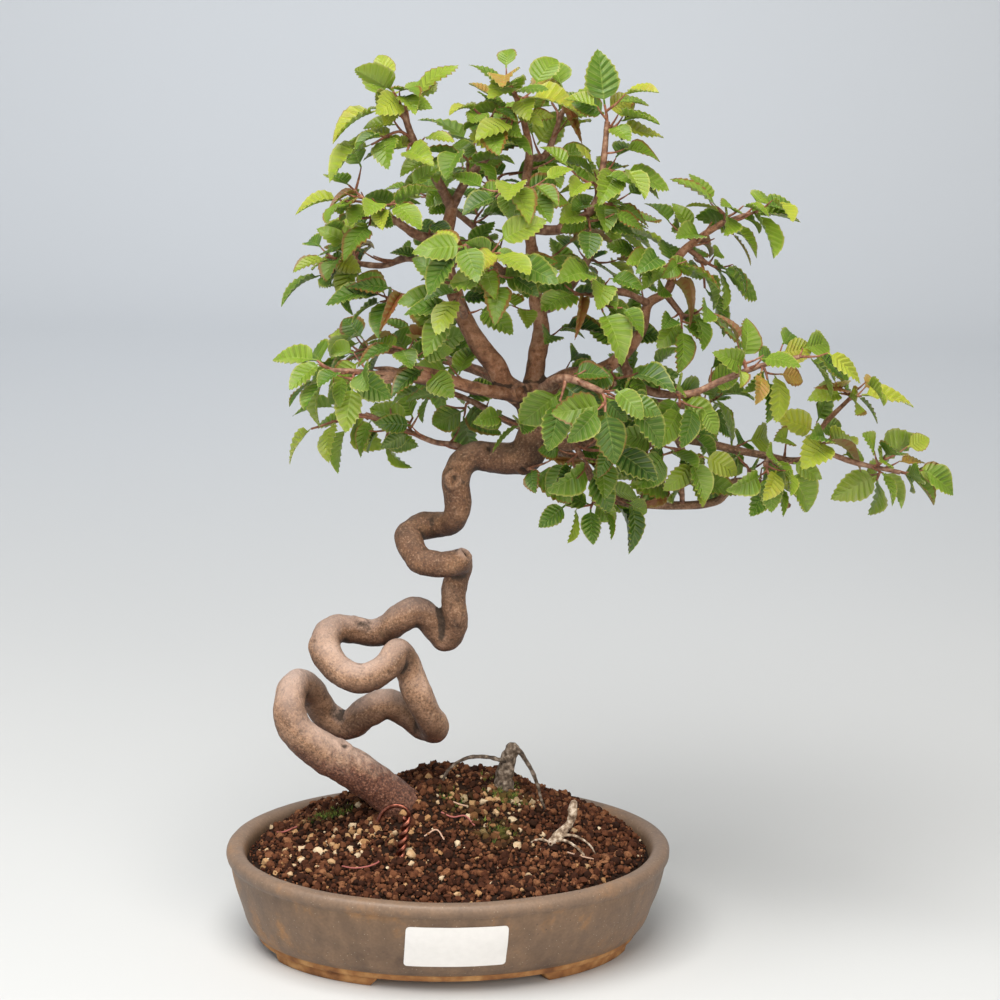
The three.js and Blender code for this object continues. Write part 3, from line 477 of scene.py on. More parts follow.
def foot_patch(quarter):
    """A foot in one quarter: along the angle, and round a section with rounded lower edges. Its sole
    rises to the pot over the last degrees at each end by a smoothstep."""
    mirrored = quarter % 2 == 1
    t = np.linspace(0, 1, FOOT_STEPS)
    share = FOOT_FROM + (FOOT_TO - FOOT_FROM) * t
    turn_angle = np.radians(90 * quarter + (90 - share[::-1] if mirrored else share))
    end = np.clip(np.minimum(t, 1 - t) / END_SHARE, 0, 1)
    rise = (1 - end * end * (3 - 2 * end)) * END_RISE
    height = BASE_HEIGHT * (rise[:, None] + (1 - rise[:, None]) * FOOT_SECTION[:, 1])
    axes = FOOT_HALF_AXES[None, None] - FOOT_SECTION[None, :, :1]
    points = np.stack([
        axes[..., 0] * np.cos(turn_angle)[:, None],
        axes[..., 1] * np.sin(turn_angle)[:, None],
        height,
    ], -1)
    rows, columns = points.shape[:2]
    flat = points.reshape(-1, 3)
    caps = [[0, k + 1, k] for k in range(1, columns - 1)]
    last = (rows - 1) * columns
    caps += [[last, last + k, last + k + 1] for k in range(1, columns - 1)]
    return patch(flat + POT_CENTRE, grid_quads(rows, columns, closed=True), caps)


stoneware, stoneware_shader = new_material("matt_glazed_stoneware")
pot_patches = [patch(pot_points + POT_CENTRE, pot_quads), *(foot_patch(quarter) for quarter in range(4))]
build("stoneware_pot", pot_patches, [stoneware], ["pot"])

# %% [markdown]
# The glaze is thin and matt. Iron gives it broad clouds of grey-brown and ochre, small dark pits where
# gas escaped, and pale specks. Where it runs thin on the rim it is lighter. Below a wavering line the
# clay is bare.

# %% Stoneware finish
add = partial(node, stoneware)
place = add("TexCoord", take="Object")
height = add("SeparateXYZ", {"Vector": place}, take="Z")
# Clouds of iron about 33 mm across, and runs 6 mm wide that are drawn out four times as long upwards.
clouds = add("TexNoise", {"Vector": place, "Scale": spaced(33.33), "Detail": 6, "Roughness": 0.66})
glaze = add("ValToRGB", {"Fac": clouds}, stops=[
    (0.30, "#564030"), (0.44, "#6F5742"), (0.55, "#785E47"), (0.66, "#956B40"), (0.8, "#9B7A53")])
streaks = add("Mapping", {"Vector": place, "Scale": (1, 1, 0.25)})
runs = add("TexNoise", {"Vector": streaks, "Scale": spaced(6.25), "Detail": 3})
runs_shade = add("ValToRGB", {"Fac": runs}, stops=[(0.35, 0.78), (0.65, 1.08)])
# The glaze thins over the last 6 mm below the rim's crown.
rim_share = add("MapRange", {"Value": height, "From Min": 45.5 * MM, "From Max": 51.5 * MM})
rim_share = add("Math", {0: rim_share, 1: 0.5}, operation="MULTIPLY")
# Gas pits about 0.5 mm wide and 4 mm apart, in groups 11 mm across.
pits = add("TexVoronoi", {"Vector": place, "Scale": spaced(3.846), "Randomness": 1.0})
pit_mask = add("ValToRGB", {"Fac": pits}, stops=[(0.05, 1.0), (0.13, 0.0)])
pit_place = add("TexNoise", {"Vector": place, "Scale": spaced(11.11), "Detail": 1})
pit_here = add("ValToRGB", {"Fac": pit_place}, stops=[(0.55, 0.0), (0.6, 1.0)])
pit_fac = add("Math", {0: pit_mask, 1: pit_here}, operation="MULTIPLY")
# Pale specks a few tenths of a millimetre wide, 2.4 mm apart.
specks = add("TexVoronoi", {"Vector": place, "Scale": spaced(2.381)})
speck_mask = add("ValToRGB", {"Fac": specks}, stops=[(0.06, 0.7), (0.12, 0.0)])
# The glaze ends about 9 mm above the ground, in a line that wavers by a millimetre.
edge_noise = add("TexNoise", {"Vector": place, "Scale": spaced(16.67), "Detail": 4})
edge_height = add("Math", {0: edge_noise, 1: 1.2 * MM, 2: height}, operation="MULTIPLY_ADD")
bare = add("MapRange", {"Value": edge_height, "From Min": 9.7 * MM, "From Max": 9.3 * MM})
clay_noise = add("TexNoise", {"Vector": place, "Scale": spaced(8.333), "Detail": 6})
clay = add("ValToRGB", {"Fac": clay_noise}, stops=[(0.3, "#6E4526"), (0.5, "#9A6A3E"), (0.7, "#B98C58")])
# Real grog is finer than half a millimetre. It is drawn at 1.4 mm, the finest that shows at this size.
grain = add("TexNoise", {"Vector": place, "Scale": spaced(1.4286), "Detail": 4})
grain_shade = add("ValToRGB", {"Fac": grain}, stops=[(0.35, 0.82), (0.65, 1.12)])
# The coats are laid one over the other, each by its share.
for share, coat, blend in (
    (0.8, runs_shade, "MULTIPLY"), (rim_share, "#8E7868", "MIX"), (pit_fac, "#352A22", "MIX"),
    (speck_mask, "#B9AC97", "MIX"), (0.6, grain_shade, "MULTIPLY"), (bare, clay, "MIX"),
):
    glaze = add("MixRGB", {"Fac": share, "Color1": glaze, "Color2": coat}, blend_type=blend)
gloss = add("MapRange", {"Value": clouds, "To Min": 0.4, "To Max": 0.6})
gloss = add("MixRGB", {"Fac": bare, "Color1": gloss, "Color2": (0.9, 0.9, 0.9, 1)})
relief = add("Math", {0: pit_fac, 1: -1.2, 2: grain}, operation="MULTIPLY_ADD")
bump = add("Bump", {"Height": relief, "Strength": 0.35, "Distance": 0.4 * MM})
complete(stoneware, stoneware_shader, {"Base Color": glaze, "Roughness": gloss, "Normal": bump})

# %% [markdown]
# ## The soil
# The pot is filled with hard-baked red-brown clay granules of 2 to 5 mm, with a few of pale pumice
# scattered among them, and it is heaped up at the back round the foot of the trunk. One surface is painted
# dark as the shade in the gaps, and thousands of small stones of a few dozen faces lie on it.

# %% Soil surface
SOIL_HALF = np.array([103.0, 80.4])
SOIL_TOP = 48
MOUND_HEIGHT = 33
MOUND_AT = turned([2, 28, 0])
MOUND_REACH = [47, 42]
COLLAR_AT = turned([-13, -1, 0])
COLLAR_HEIGHT = 8
COLLAR_REACH = 15
BANK_LIFT = 1.5
BANK_SLOPE = 1.0
BANK_BLEND = 2.0
# Rolls of the heap: how high in mm, how wide, and their seed.
SOIL_ROLLS = [(1.5, 17, 8), (0.9, 7, 9)]
# The outermost share of the oval dips to the pot's wall. All of it lies a little under the stones.
DIP_FROM, DIP_SHARE, DIP = 0.86, 0.14, 2.4
UNDER_STONES = 1.2


def settle(x, y):
    """The heap's top over the plan: a level plus a Gaussian mound, as in the solids, which falls to the
    rim at the steepest slope that granules hold. The lower of mound and bank is taken smoothly:
    -k log(exp(-mound/k) + exp(-bank/k)). It rolls by a millimetre or two, and a second, smaller
    Gaussian banks it up round the trunk's foot."""
    reach = ((x - MOUND_AT[0]) / MOUND_REACH[0]) ** 2 + ((y - MOUND_AT[1]) / MOUND_REACH[1]) ** 2
    mound = SOIL_TOP + MOUND_HEIGHT * np.exp(-reach / 2)
    share = np.hypot(x / SOIL_HALF[0], y / SOIL_HALF[1])
    bank = SOIL_TOP + BANK_LIFT + BANK_SLOPE * SOIL_HALF[1] * (1 - np.minimum(share, 1))
    heap = -BANK_BLEND * np.logaddexp(-mound / BANK_BLEND, -bank / BANK_BLEND)
    flat = np.stack([x, y, np.zeros_like(x)], -1)
    rolls = sum(high * value_noise(flat, size, seed) for high, size, seed in SOIL_ROLLS)
    collar = ((x - COLLAR_AT[0]) ** 2 + (y - COLLAR_AT[1]) ** 2) / COLLAR_REACH ** 2
    rolls += COLLAR_HEIGHT * np.exp(-collar)
    return heap + rolls - DIP * np.clip((share - DIP_FROM) / DIP_SHARE, 0, 1) ** 2 - UNDER_STONES


SOIL_RINGS = 70
LEAST_RING = 0.004
# Below the top the bed follows the pot's inside: half length, half width and height of two rings.
SOIL_WALL = np.array([[88, 60, 11], [100, 76.6, 31.5]])
ring_share = np.linspace(1, LEAST_RING, SOIL_RINGS)
x = ring_share[:, None] * SOIL_HALF[0] * np.cos(angle)
y = ring_share[:, None] * SOIL_HALF[1] * np.sin(angle)
z = settle(x.ravel(), y.ravel()).reshape(x.shape)
walls = np.stack([SOIL_WALL[:, :1] * np.cos(angle), SOIL_WALL[:, 1:2] * np.sin(angle),
                  np.repeat(SOIL_WALL[:, 2:], POT_SIDES, 1)], -1)
soil_points = np.concatenate([walls, np.stack([x, y, z], -1)]).reshape(-1, 3)
bottom, top = len(soil_points), len(soil_points) + 1
middle = settle(np.zeros(1), np.zeros(1))[0]
soil_points = np.vstack([soil_points, [0, 0, SOIL_WALL[0, 2]], [0, 0, middle]])
k = np.arange(POT_SIDES)
last = (SOIL_RINGS + 1) * POT_SIDES
soil_caps = np.vstack([
    np.stack([np.full(POT_SIDES, bottom), (k + 1) % POT_SIDES, k], 1),
    np.stack([np.full(POT_SIDES, top), last + k, last + (k + 1) % POT_SIDES], 1),
])
soil_quads = grid_quads(SOIL_RINGS + 2, POT_SIDES, closed=True)
print("soil bed:", len(soil_points), "points, top at", round(float(z.max()), 1), "mm")

# %% [markdown]
# A stone is an octahedron split once, 32 faces, blown out to a ball and dented at random. Every stone
# gets its own size, stretch, turn and dents, so a few numbers per stone make the whole bed.

# %% Stones


def split_octahedron():
    """18 corners on the unit sphere and 32 faces: each face's edges are halved and pushed out."""
    corners = [(1, 0, 0), (-1, 0, 0), (0, 1, 0), (0, -1, 0), (0, 0, 1), (0, 0, -1)]
    faces = [(0, 2, 4), (2, 1, 4), (1, 3, 4), (3, 0, 4), (2, 0, 5), (1, 2, 5), (3, 1, 5), (0, 3, 5)]
    halves = {}
    out = []
    for a, b, c in faces:
        mid = []
        for p, q in ((a, b), (b, c), (c, a)):
            key = (min(p, q), max(p, q))
            if key not in halves:
                halves[key] = len(corners)
                corners.append(tuple(np.add(corners[p], corners[q])))
            mid.append(halves[key])
        ab, bc, ca = mid
        out += [(a, ab, ca), (ab, b, bc), (ca, bc, c), (ab, bc, ca)]
    ball = np.array(corners, float)
    return ball / np.linalg.norm(ball, axis=1, keepdims=True), np.array(out)


STONE_BALL, STONE_FACES = split_octahedron()
# A stone's least and most stretch along its three axes: it is wider than high.
LEAST_STRETCH, MOST_STRETCH = [0.85, 0.75, 0.6], [1.15, 1.05, 0.9]


def random_turns(count, rng):
    """Rotation matrices from random unit quaternions."""
    q = rng.normal(size=(count, 4))
    w, x, y, z = (q / np.linalg.norm(q, axis=1, keepdims=True)).T
    return np.stack([
        1 - 2 * (y * y + z * z), 2 * (x * y - z * w), 2 * (x * z + y * w),
        2 * (x * y + z * w), 1 - 2 * (x * x + z * z), 2 * (y * z - x * w),
        2 * (x * z - y * w), 2 * (y * z + x * w), 1 - 2 * (x * x + y * y)], 1).reshape(-1, 3, 3)


def stones(centres, sizes, tones, kinds, greens, dents, rng):
    """Stones as one patch: centre + turn (stretch * ball * (1 + dents)) * size / 2."""
    count = len(centres)
    dent = 1 + dents * rng.uniform(-1, 1, (count, len(STONE_BALL), 1))
    stretch = rng.uniform(LEAST_STRETCH, MOST_STRETCH, (count, 3))[:, None]
    shape = np.einsum("nij,nkj->nki", random_turns(count, rng), STONE_BALL * dent * stretch)
    points = centres[:, None] + shape * sizes[:, None, None] / 2
    faces = STONE_FACES[None] + len(STONE_BALL) * np.arange(count)[:, None, None]
    tone, kind, green = (np.repeat(values, len(STONE_BALL)) for values in (tones, kinds, greens))
    return patch(points.reshape(-1, 3), (), faces.reshape(-1, 3), tone=tone, kind=kind, under=green)


# %% Lay the granules
rng = np.random.default_rng(20)
# Rows of a triangular lattice are this many spacings apart, and each place is shifted by up to a share.
ROW_SHARE = 0.866
LATTICE_JITTER = 0.42


def scatter(spacing, reach):
    """Plan places on a jittered triangular lattice inside the oval, up to a share of its half axes."""
    nx = int(2 * SOIL_HALF[0] / spacing)
    ny = int(2 * SOIL_HALF[1] / (spacing * ROW_SHARE))
    gx, gy = np.meshgrid(np.arange(nx), np.arange(ny))
    x = (gx + 0.5 * (gy % 2)) * spacing - SOIL_HALF[0]
    y = gy * spacing * ROW_SHARE - SOIL_HALF[1]
    shift = rng.uniform(-LATTICE_JITTER, LATTICE_JITTER, (nx * ny, 2)) * spacing
    plan = np.stack([x.ravel(), y.ravel()], 1) + shift
    return plan[np.hypot(plan[:, 0] / SOIL_HALF[0], plan[:, 1] / SOIL_HALF[1]) < reach]


# Where pumice lies thicker: x, y, reach along each in mm, and how much likelier it is there.
PUMICE_PATCHES = [(-62, -18, 24, 17, 0.15), (28, 0, 18, 18, 0.14), (-26, -18, 12, 9, 0.16)]
PUMICE_SHARE = 0.02
# Damp places where moss and algae grow: x, y, reach along each, and how many tufts.
MOSS_PATCHES = [
    (-60, 12, 12, 6, 60), (30, 11, 10, 6, 50), (28, 23, 8, 5, 40), (25, -16, 12, 9, 16), (3, -2, 10, 7, 10),
]


def pumice_share(plan):
    """How likely a stone is pumice: a low level everywhere and a few Gaussian patches."""
    share = np.full(len(plan), PUMICE_SHARE)
    for px, py, rx, ry, most in PUMICE_PATCHES:
        centre = turned([px, py, 0])
        away = ((plan[:, 0] - centre[0]) / rx) ** 2 + ((plan[:, 1] - centre[1]) / ry) ** 2
        share += most * np.exp(-away / 2)
    return share


def damp_share(plan):
    """How green a stone is, from 0 to 1: a Gaussian patch round each place where moss grows."""
    share = np.zeros(len(plan))
    for px, py, rx, ry, _ in MOSS_PATCHES:
        centre = turned([px, py, 0])
        share += np.exp(-(((plan[:, 0] - centre[0]) / rx) ** 2 + ((plan[:, 1] - centre[1]) / ry) ** 2))
    return np.clip(share, 0, 1)


# Big granules of 2.3 to 5.2 mm lie side by side, and broken bits of 1.1 to 2.2 mm fill in between.
BIG_SPACING, BIG_REACH = 3.1, 0.965
BIT_SPACING, BIT_REACH, BIT_SHARE = 1.85, 0.985, 0.55
BIG_LEAST, BIG_MORE = 2.3, 2.9
big = scatter(BIG_SPACING, BIG_REACH)
small = scatter(BIT_SPACING, BIT_REACH)
small = small[rng.uniform(size=len(small)) < BIT_SHARE]
plan = np.vstack([big, small])
big_size = BIG_LEAST + BIG_MORE * rng.uniform(size=len(big)) ** 1.6
size = np.concatenate([big_size, rng.uniform(1.1, 2.2, len(small))])
# Those at the pot's wall are smaller. A big one sinks in by more of its size than a bit does.
share = np.hypot(plan[:, 0] / SOIL_HALF[0], plan[:, 1] / SOIL_HALF[1])
size = np.where(share > 0.93, size * 0.75, size)
lift = np.concatenate([rng.uniform(0.0, 0.42, len(big)), rng.uniform(0.3, 1.0, len(small))]) * size
level = settle(plan[:, 0], plan[:, 1]) + lift
pale = rng.uniform(size=len(plan)) < pumice_share(plan) * np.where(size > 2.4, 1.3, 0.6)
tone = rng.uniform(0, 1, len(plan))
kind = np.where(pale, 1.0, 0.0)
centres = np.column_stack([plan, level]) + POT_CENTRE
green = damp_share(plan) * rng.uniform(0, 1, len(plan)) ** 1.5
CLAY_DENTS, PUMICE_DENTS = 0.24, 0.3
bed, pumice = (stones(centres[part], size[part], tone[part], kind[part], green[part], dents, rng)
               for part, dents in ((~pale, CLAY_DENTS), (pale, PUMICE_DENTS)))

granule_clay, granule_shader = new_material("baked_clay_granules")
# The bed under the stones is marked by a kind below zero: its material paints it dark, as painted shade in
# the gaps between stones.
GAP_KIND = -1.0
soil_patch = patch(soil_points + POT_CENTRE, soil_quads, soil_caps, tone=0.1, kind=GAP_KIND)
build("soil_bed", [soil_patch], [granule_clay], ["soil"])
build("clay_granules", [bed], [granule_clay])
build("pumice_granules", [pumice], [granule_clay])
print("stones:", len(plan), "of which pumice:", int(pale.sum()))

# %% [markdown]
# The baked clay is matt and porous: its colour runs from near black where it is damp to orange-brown
# where dust has dried on it, and each granule keeps one shade. The pumice is cream to ochre.

# %% Granule finish
add = partial(node, granule_clay)
place = add("TexCoord", take="Object")
own_tone, own_kind, own_green = (add("Attribute", attribute_name=key, take="Fac") for key in KEYS)
# The pores are fine dust holes. They are drawn 1.1 mm apart, the finest that shows at this size.
grit = add("TexNoise", {"Vector": place, "Scale": spaced(1.1111), "Detail": 4})
shade = add("Math", {0: grit, 1: 0.5, 2: own_tone}, operation="MULTIPLY_ADD")
darker = add("Math", {0: shade, 1: 0.25}, operation="SUBTRACT")
brown = add("ValToRGB", {"Fac": darker}, stops=[
    (0.05, "#2B170E"), (0.35, "#432416"), (0.62, "#583321"), (0.86, "#71472F"), (1.0, "#8E6244")])
cream = add("ValToRGB", {"Fac": shade}, stops=[
    (0.1, "#7E5738"), (0.4, "#A37A52"), (0.75, "#B9946B"), (1.0, "#D3BC9C")])
is_pumice = add("MapRange", {"Value": own_kind, "From Min": 0.4, "From Max": 0.6})
body = add("MixRGB", {"Fac": is_pumice, "Color1": brown, "Color2": cream})
body = add("MixRGB", {"Fac": own_green, "Color1": body, "Color2": "#4A4A1E"})
# Painted shade: the bed shows only in the gaps between stones and is painted near black.
gap_painted_shade = add("MapRange", {"Value": own_kind, "From Min": -0.4, "From Max": -0.6})
body = add("MixRGB", {"Fac": gap_painted_shade, "Color1": body, "Color2": "#261810"})
bump = add("Bump", {"Height": grit, "Strength": 0.6, "Distance": 0.6 * MM})
complete(granule_clay, granule_shader, {
    "Base Color": body, "Roughness": 0.95, "Specular IOR Level": 0.2, "Normal": bump})

# %% [markdown]
# ## The trunk and its limbs
# The trunk was wound round on itself while it was young. Its line is a table of places and radii, and a
# curve is laid through them. A hornbeam's limbs grow out of the trunk in one skin, so the thick tubes
# are fused by a voxel remesh and smoothed, which fills each crotch the way growing wood does.

# %% Trunk and limb tables
# Rows of x, y, z and radius in mm, in the tree's own frame. The trunk is given in runs, from bend to bend.
TRUNK = [
    [
        [2, 10, 46, 12], [-9, 5, 58, 11.5], [-22, 0, 69, 10.8], [-33, -3, 80, 10.6],
        [-50, -8, 94, 10.2], [-66, -12, 104, 9.8], [-78, -12, 116, 8.8], [-81, -8, 127, 8.2],
        [-78, 2, 134, 7.5], [-71, 14, 126, 7.3], [-64, 19, 113, 7.5], [-53, 17, 108, 7.9],
        [-43, 12, 117, 7.9], [-33, 11, 122, 7.6], [-23, 14, 116, 7.4], [-14, 14, 109, 7.4],
    ],
    [
        [-14, 14, 109, 7.4], [-8, 4, 112, 7.5], [-12, -4, 122, 7.4], [-17, -6, 132, 7.4],
        [-21, -4, 143, 7.2], [-24, -6, 151, 7.1], [-27, -11, 156, 7],
    ],
    [
        [-27, -11, 156, 7], [-32, -16, 150, 7.3], [-43, -17, 144, 7.6], [-53, -15, 145, 7.9],
        [-61, -10, 152, 7.9], [-63, -2, 159, 7.8], [-58, 6, 162, 7.6], [-50, 9, 161, 7.4],
        [-41, 9, 160, 7.2], [-33, 7, 163, 7.3], [-26, 4, 169, 7.5], [-19, 4, 173, 7.4],
        [-12, 6, 169, 7.2], [-7, 8, 161, 7], [-3, 8, 158, 6.9],
    ],
    [[-3, 8, 158, 6.9], [1, 4, 167, 6.7], [0, 3, 178, 6.5], [1, 6, 188, 6.6], [3, 5, 197, 6.7]],
    [
        [3, 5, 197, 6.7], [1, -5, 201, 6.7], [-7, -11, 201, 6.7], [-16, -9, 202, 6.8],
        [-21, -4, 208, 7], [-23, 3, 212, 7], [-18, 9, 215, 6.8], [-10, 11, 216, 6.6], [-3, 7, 218, 6.6],
        [1, 1, 224, 6.7], [1, 0, 232, 6.7], [0, 0, 241, 6.8], [3, 1, 250, 7], [10, 2, 254, 7.2],
        [18, 2, 253, 7.5], [28, 1, 253, 8.2], [35, 0, 256, 9.2], [39, 0, 265, 9], [39, 0, 274, 8.4],
        [37, 0, 283, 7.6], [36, 1, 290, 6.2],
    ],
]
LIMBS = {
    "leftRise": [[37, 0, 282, 6], [24, -3, 291, 5.6], [18, -5, 302, 5.2], [11, -6, 311, 4.8],
        [4, -4, 322, 4.3], [-2, 0, 336, 3.9], [-7, 2, 353, 3.5], [-4, 3, 377, 2.9]],
    "leftShelf": [[33, -2, 286, 4.6], [13, -12, 290, 2.9], [2, -16, 294, 2.7], [-17, -20, 300, 2.7],
        [-33, -22, 298, 3.2]],
    "heart": [[37, 2, 282, 6], [39, 6, 302, 4.6], [41, 8, 317, 4.1], [38, 8, 332, 3.7], [35, 6, 359, 3],
        [31, 4, 381, 2.5], [33, 2, 405, 1.9], [29, 0, 424, 1.4]],
    "rightRise": [[39, 2, 284, 5.4], [54, 0, 295, 4.1], [70, -2, 299, 3.6], [83, -2, 309, 3.1],
        [90, 0, 320, 2.8], [93, 2, 332, 2.5], [102, 4, 338, 2.2], [107, 4, 355, 2], [117, 2, 365, 1.8],
        [128, 0, 373, 1.5]],
    "rightLong": [[38, 0, 263, 5.4], [58, -4, 263, 3.8], [74, 0, 265, 2.7], [93, 6, 266, 2.4],
        [119, 10, 262, 2.2], [146, 8, 257, 1.9], [174, 2, 256, 1.8], [180, 0, 272, 1.4],
        [193, 0, 287, 1.1]],
    "rightLow": [[49, 0, 262, 3.2], [66, 12, 244, 2.7], [81, 16, 230, 2.5], [99, 18, 227, 2.3],
        [132, 18, 230, 2.1], [138, 15, 240, 1.9], [154, 13, 239, 1.7], [167, 12, 229, 1.5]],
}

# %% One skin
HOLLOW_ROUNDS = 6


def tree_path(rows, step):
    """Rows of the tree's frame as a smooth path in the pot's frame."""
    path = smooth_path(rows, step)
    path[:, :3] = turned(path[:, :3]) + POT_CENTRE
    return path


def fused(patches, voxel, rounds):
    """One skin round all patches: voxel remesh at a size in mm, then each point moves half way to the
    mean of its neighbours, a number of times. Returns points in mm, faces, outward normals and how
    hollow the skin is at each point: how far out along the normal its neighbours' mean lies."""
    offsets = np.cumsum([0] + [len(p["points"]) for p in patches])
    points = np.concatenate([p["points"] for p in patches])
    faces = []
    for p, o in zip(patches, offsets):
        faces += (p["quads"] + o).tolist() + (p["tris"] + o).tolist()
    mesh = bpy.data.meshes.new("raw")
    mesh.from_pydata((points * MM).tolist(), [], faces)
    raw = bpy.data.objects.new("raw", mesh)
    bpy.context.scene.collection.objects.link(raw)
    skin = raw.modifiers.new("skin", "REMESH")
    skin.mode = "VOXEL"
    skin.voxel_size = voxel * MM
    made = bpy.data.meshes.new_from_object(raw.evaluated_get(bpy.context.evaluated_depsgraph_get()))
    bpy.data.objects.remove(raw)
    count = len(made.vertices)
    points = np.empty(count * 3)
    made.vertices.foreach_get("co", points)
    points = points.reshape(-1, 3) / MM
    corners = np.empty(len(made.loops), int)
    made.loops.foreach_get("vertex_index", corners)
    quads = corners.reshape(-1, 4)
    edges = np.empty(len(made.edges) * 2, int)
    made.edges.foreach_get("vertices", edges)
    a, b = edges.reshape(-1, 2).T
    degree = np.bincount(np.concatenate([a, b]), minlength=count)[:, None]

    def neighbour_mean(values):
        """The mean of each point's neighbours along edges: sums over both ends of each edge."""
        total = np.stack([np.bincount(a, values[b, k], count) + np.bincount(b, values[a, k], count)
                          for k in range(values.shape[1])], 1)
        return total / degree

    for _ in range(rounds):
        points = points + 0.5 * (neighbour_mean(points) - points)
    one, two, three, four = (points[quads[:, k]] for k in range(4))
    diagonal = np.cross(three - one, four - two)
    normals = np.zeros_like(points)
    for k in range(4):
        for axis in range(3):
            normals[:, axis] += np.bincount(quads[:, k], diagonal[:, axis], count)
    normals /= np.linalg.norm(normals, axis=1, keepdims=True) + 1e-12
    hollow = np.einsum("ij,ij->i", neighbour_mean(points) - points, normals)
    for _ in range(HOLLOW_ROUNDS):
        hollow = 0.5 * hollow + 0.5 * neighbour_mean(hollow[:, None])[:, 0]
    bpy.data.meshes.remove(made)
    return points, quads, normals, hollow


def bell(distance, at, width):
    """A Gaussian bell round a distance: exp(-((d - at) / width)^2)."""
    return np.exp(-((distance - at) / width) ** 2)


# %% Fuse the trunk and its thick limbs
# Steps along the trunk and the limbs in mm, and sides of their tubes.
SKIN_STEP, LIMB_STEP = 1.6, 1.8
TRUNK_SIDES, THICK_SIDES, LIMB_SIDES = 30, 18, 14
# Limbs down to this radius are fused in.
THICK = 3.0
# Size of the remesh's cells in mm, and how often its skin is smoothed.
SKIN_CELL, SKIN_ROUNDS = 0.9, 5
STUB = [[50, -2, 262, 3.4], [57, -3, 263, 3.0], [60, -3, 263.4, 2.6]]
trunk_line = np.array(TRUNK[0] + [row for run in TRUNK[1:] for row in run[1:]], float)
trunk_path = tree_path(trunk_line, SKIN_STEP)
limb_paths = {name: tree_path(rows, LIMB_STEP) for name, rows in LIMBS.items()}
thick_parts = [tube(trunk_path, TRUNK_SIDES)]
for path in limb_paths.values():
    stout = path[path[:, 3] >= THICK]
    if len(stout) > 3:
        thick_parts.append(tube(stout, THICK_SIDES))
thick_parts.append(tube(tree_path(STUB, 1.0), 16))
points, quads, normals, hollow = fused(thick_parts, SKIN_CELL, SKIN_ROUNDS)
print("fused skin:", len(points), "points")

# %% Scars, flutes and creases
# Scars and knots where branches were cut off: place, radius and height of each. The low ones have grown
# over and are only darker in the middle, while the high ones have a pale ring round a dark middle.
SCARS = [
    [-1, -7, 244, 4.6, 1.6], [6, -6, 206, 4.5, 1.5], [-67.5, -9, 158.5, 4.5, 1.0], [-47, 4.5, 166.5, 5, 0.9],
    [33, -6.5, 249.5, 3.6, 1.4], [44, -7, 262, 3.4, 1.7], [31, -8, 289, 5, 2.2], [-53, -13, 107, 5, 1.0],
    [-31, -22, 149, 4.5, 0.9], [1, -3, 172, 4, 0.8], [16, -3.5, 258, 4, 1.0],
]
# Scars are open from this height on, over a further share of a millimetre.
OPEN_FROM, OPEN_OVER = 1.1, 0.4
# The swollen head of the trunk, where all limbs leave it.
HEAD_AT, HEAD_REACH, HEAD_SWELL = [40, -2, 281], 9, 1.5
# Flutes, lumps and wrinkles of the wood: how high in mm, how wide, and their seed.
WOOD_WAVES = [(0.75, 11, 31), (0.38, 5, 32), (0.16, 2.2, 33)]
# Near the soil the bark is coarser.
ROUGH_BELOW, ROUGH_FADE = 98, 20
fluting = sum(high * value_noise(points, size, seed) for high, size, seed in WOOD_WAVES)
head = np.linalg.norm(points - turned(HEAD_AT) - POT_CENTRE, axis=1) / HEAD_REACH
fluting += HEAD_SWELL * bell(head, 0, 1)
rough = np.clip((ROUGH_BELOW - points[:, 2]) / ROUGH_FADE, 0, 1)
fluting += rough * (0.55 * value_noise(points * [1, 1, 0.6], 3.4, 34) + 0.3 * value_noise(points, 1.8, 35))
crease = np.clip((hollow + 0.012) * 40, -0.2, 1.2)
callus = np.zeros(len(points))
# A scar's outline is uneven, and its ring is broken. Ring and middle are given in shares of its radius.
uneven = points + 1.4 * np.stack([value_noise(points, 3.5, seed) for seed in (36, 37, 38)], 1)
broken = np.clip(0.6 + value_noise(points, 2.5, 39), 0, 1)
for sx, sy, sz, radius, height in SCARS:
    centre = turned([sx, sy, sz]) + POT_CENTRE
    away = np.linalg.norm(uneven - centre, axis=1) / radius
    open_scar = np.clip((height - OPEN_FROM) / OPEN_OVER, 0, 1)
    fluting += height * bell(away, 0.75, 0.32) - 0.7 * height * bell(away, 0, 0.45)
    crease += 1.3 * bell(away, 0, 0.42) + open_scar * broken * bell(away, 1.15, 0.22)
    callus += 0.5 * open_scar * bell(away, 0.75, 0.25)
points = points + normals * fluting[:, None]
print("wood stands out and in by", fluting.min().round(2), fluting.max().round(2), "mm")

# %% Put the trunk together
# The bark looks older half way up, where rain keeps it brown, and smooth again in the limbs of the crown.
OLD_FROM, OLD_FADE, OLD_TONE = 150, 50, 0.75
SMOOTH_FROM, SMOOTH_FADE, SMOOTH_TONE = 255, 20, 0.3
LIMB_TONE = 0.4
# A limb is thicker by this share where it leaves the trunk, and the flare fades over this many mm.
FLARE, FLARE_FADE = 0.35, 4
older = OLD_TONE * np.clip((points[:, 2] - OLD_FROM) / OLD_FADE, 0, 1)
smoother = SMOOTH_TONE * np.clip((points[:, 2] - SMOOTH_FROM) / SMOOTH_FADE, 0, 1)
wood_tone = np.clip(older - smoother - callus, 0, 1)
# How far each point faces down, from 0 to 1: the bark paints shade on undersides and a highlight on top from
# it.
downward = (1 - normals[:, 2]) / 2
trunk_patches = [patch(points, quads, tone=wood_tone, kind=crease, under=downward)]
for path in limb_paths.values():
    near = 1 + FLARE * np.exp(-np.linspace(0, len(path) * LIMB_STEP, len(path)) / FLARE_FADE)
    knots = 1 + 0.10 * value_noise(path[:, :3], 5, 41)
    fine = path.copy()
    fine[:, 3] *= near * knots * 0.98
    trunk_patches.append(tube(fine, LIMB_SIDES, tone=LIMB_TONE, under=0.5))

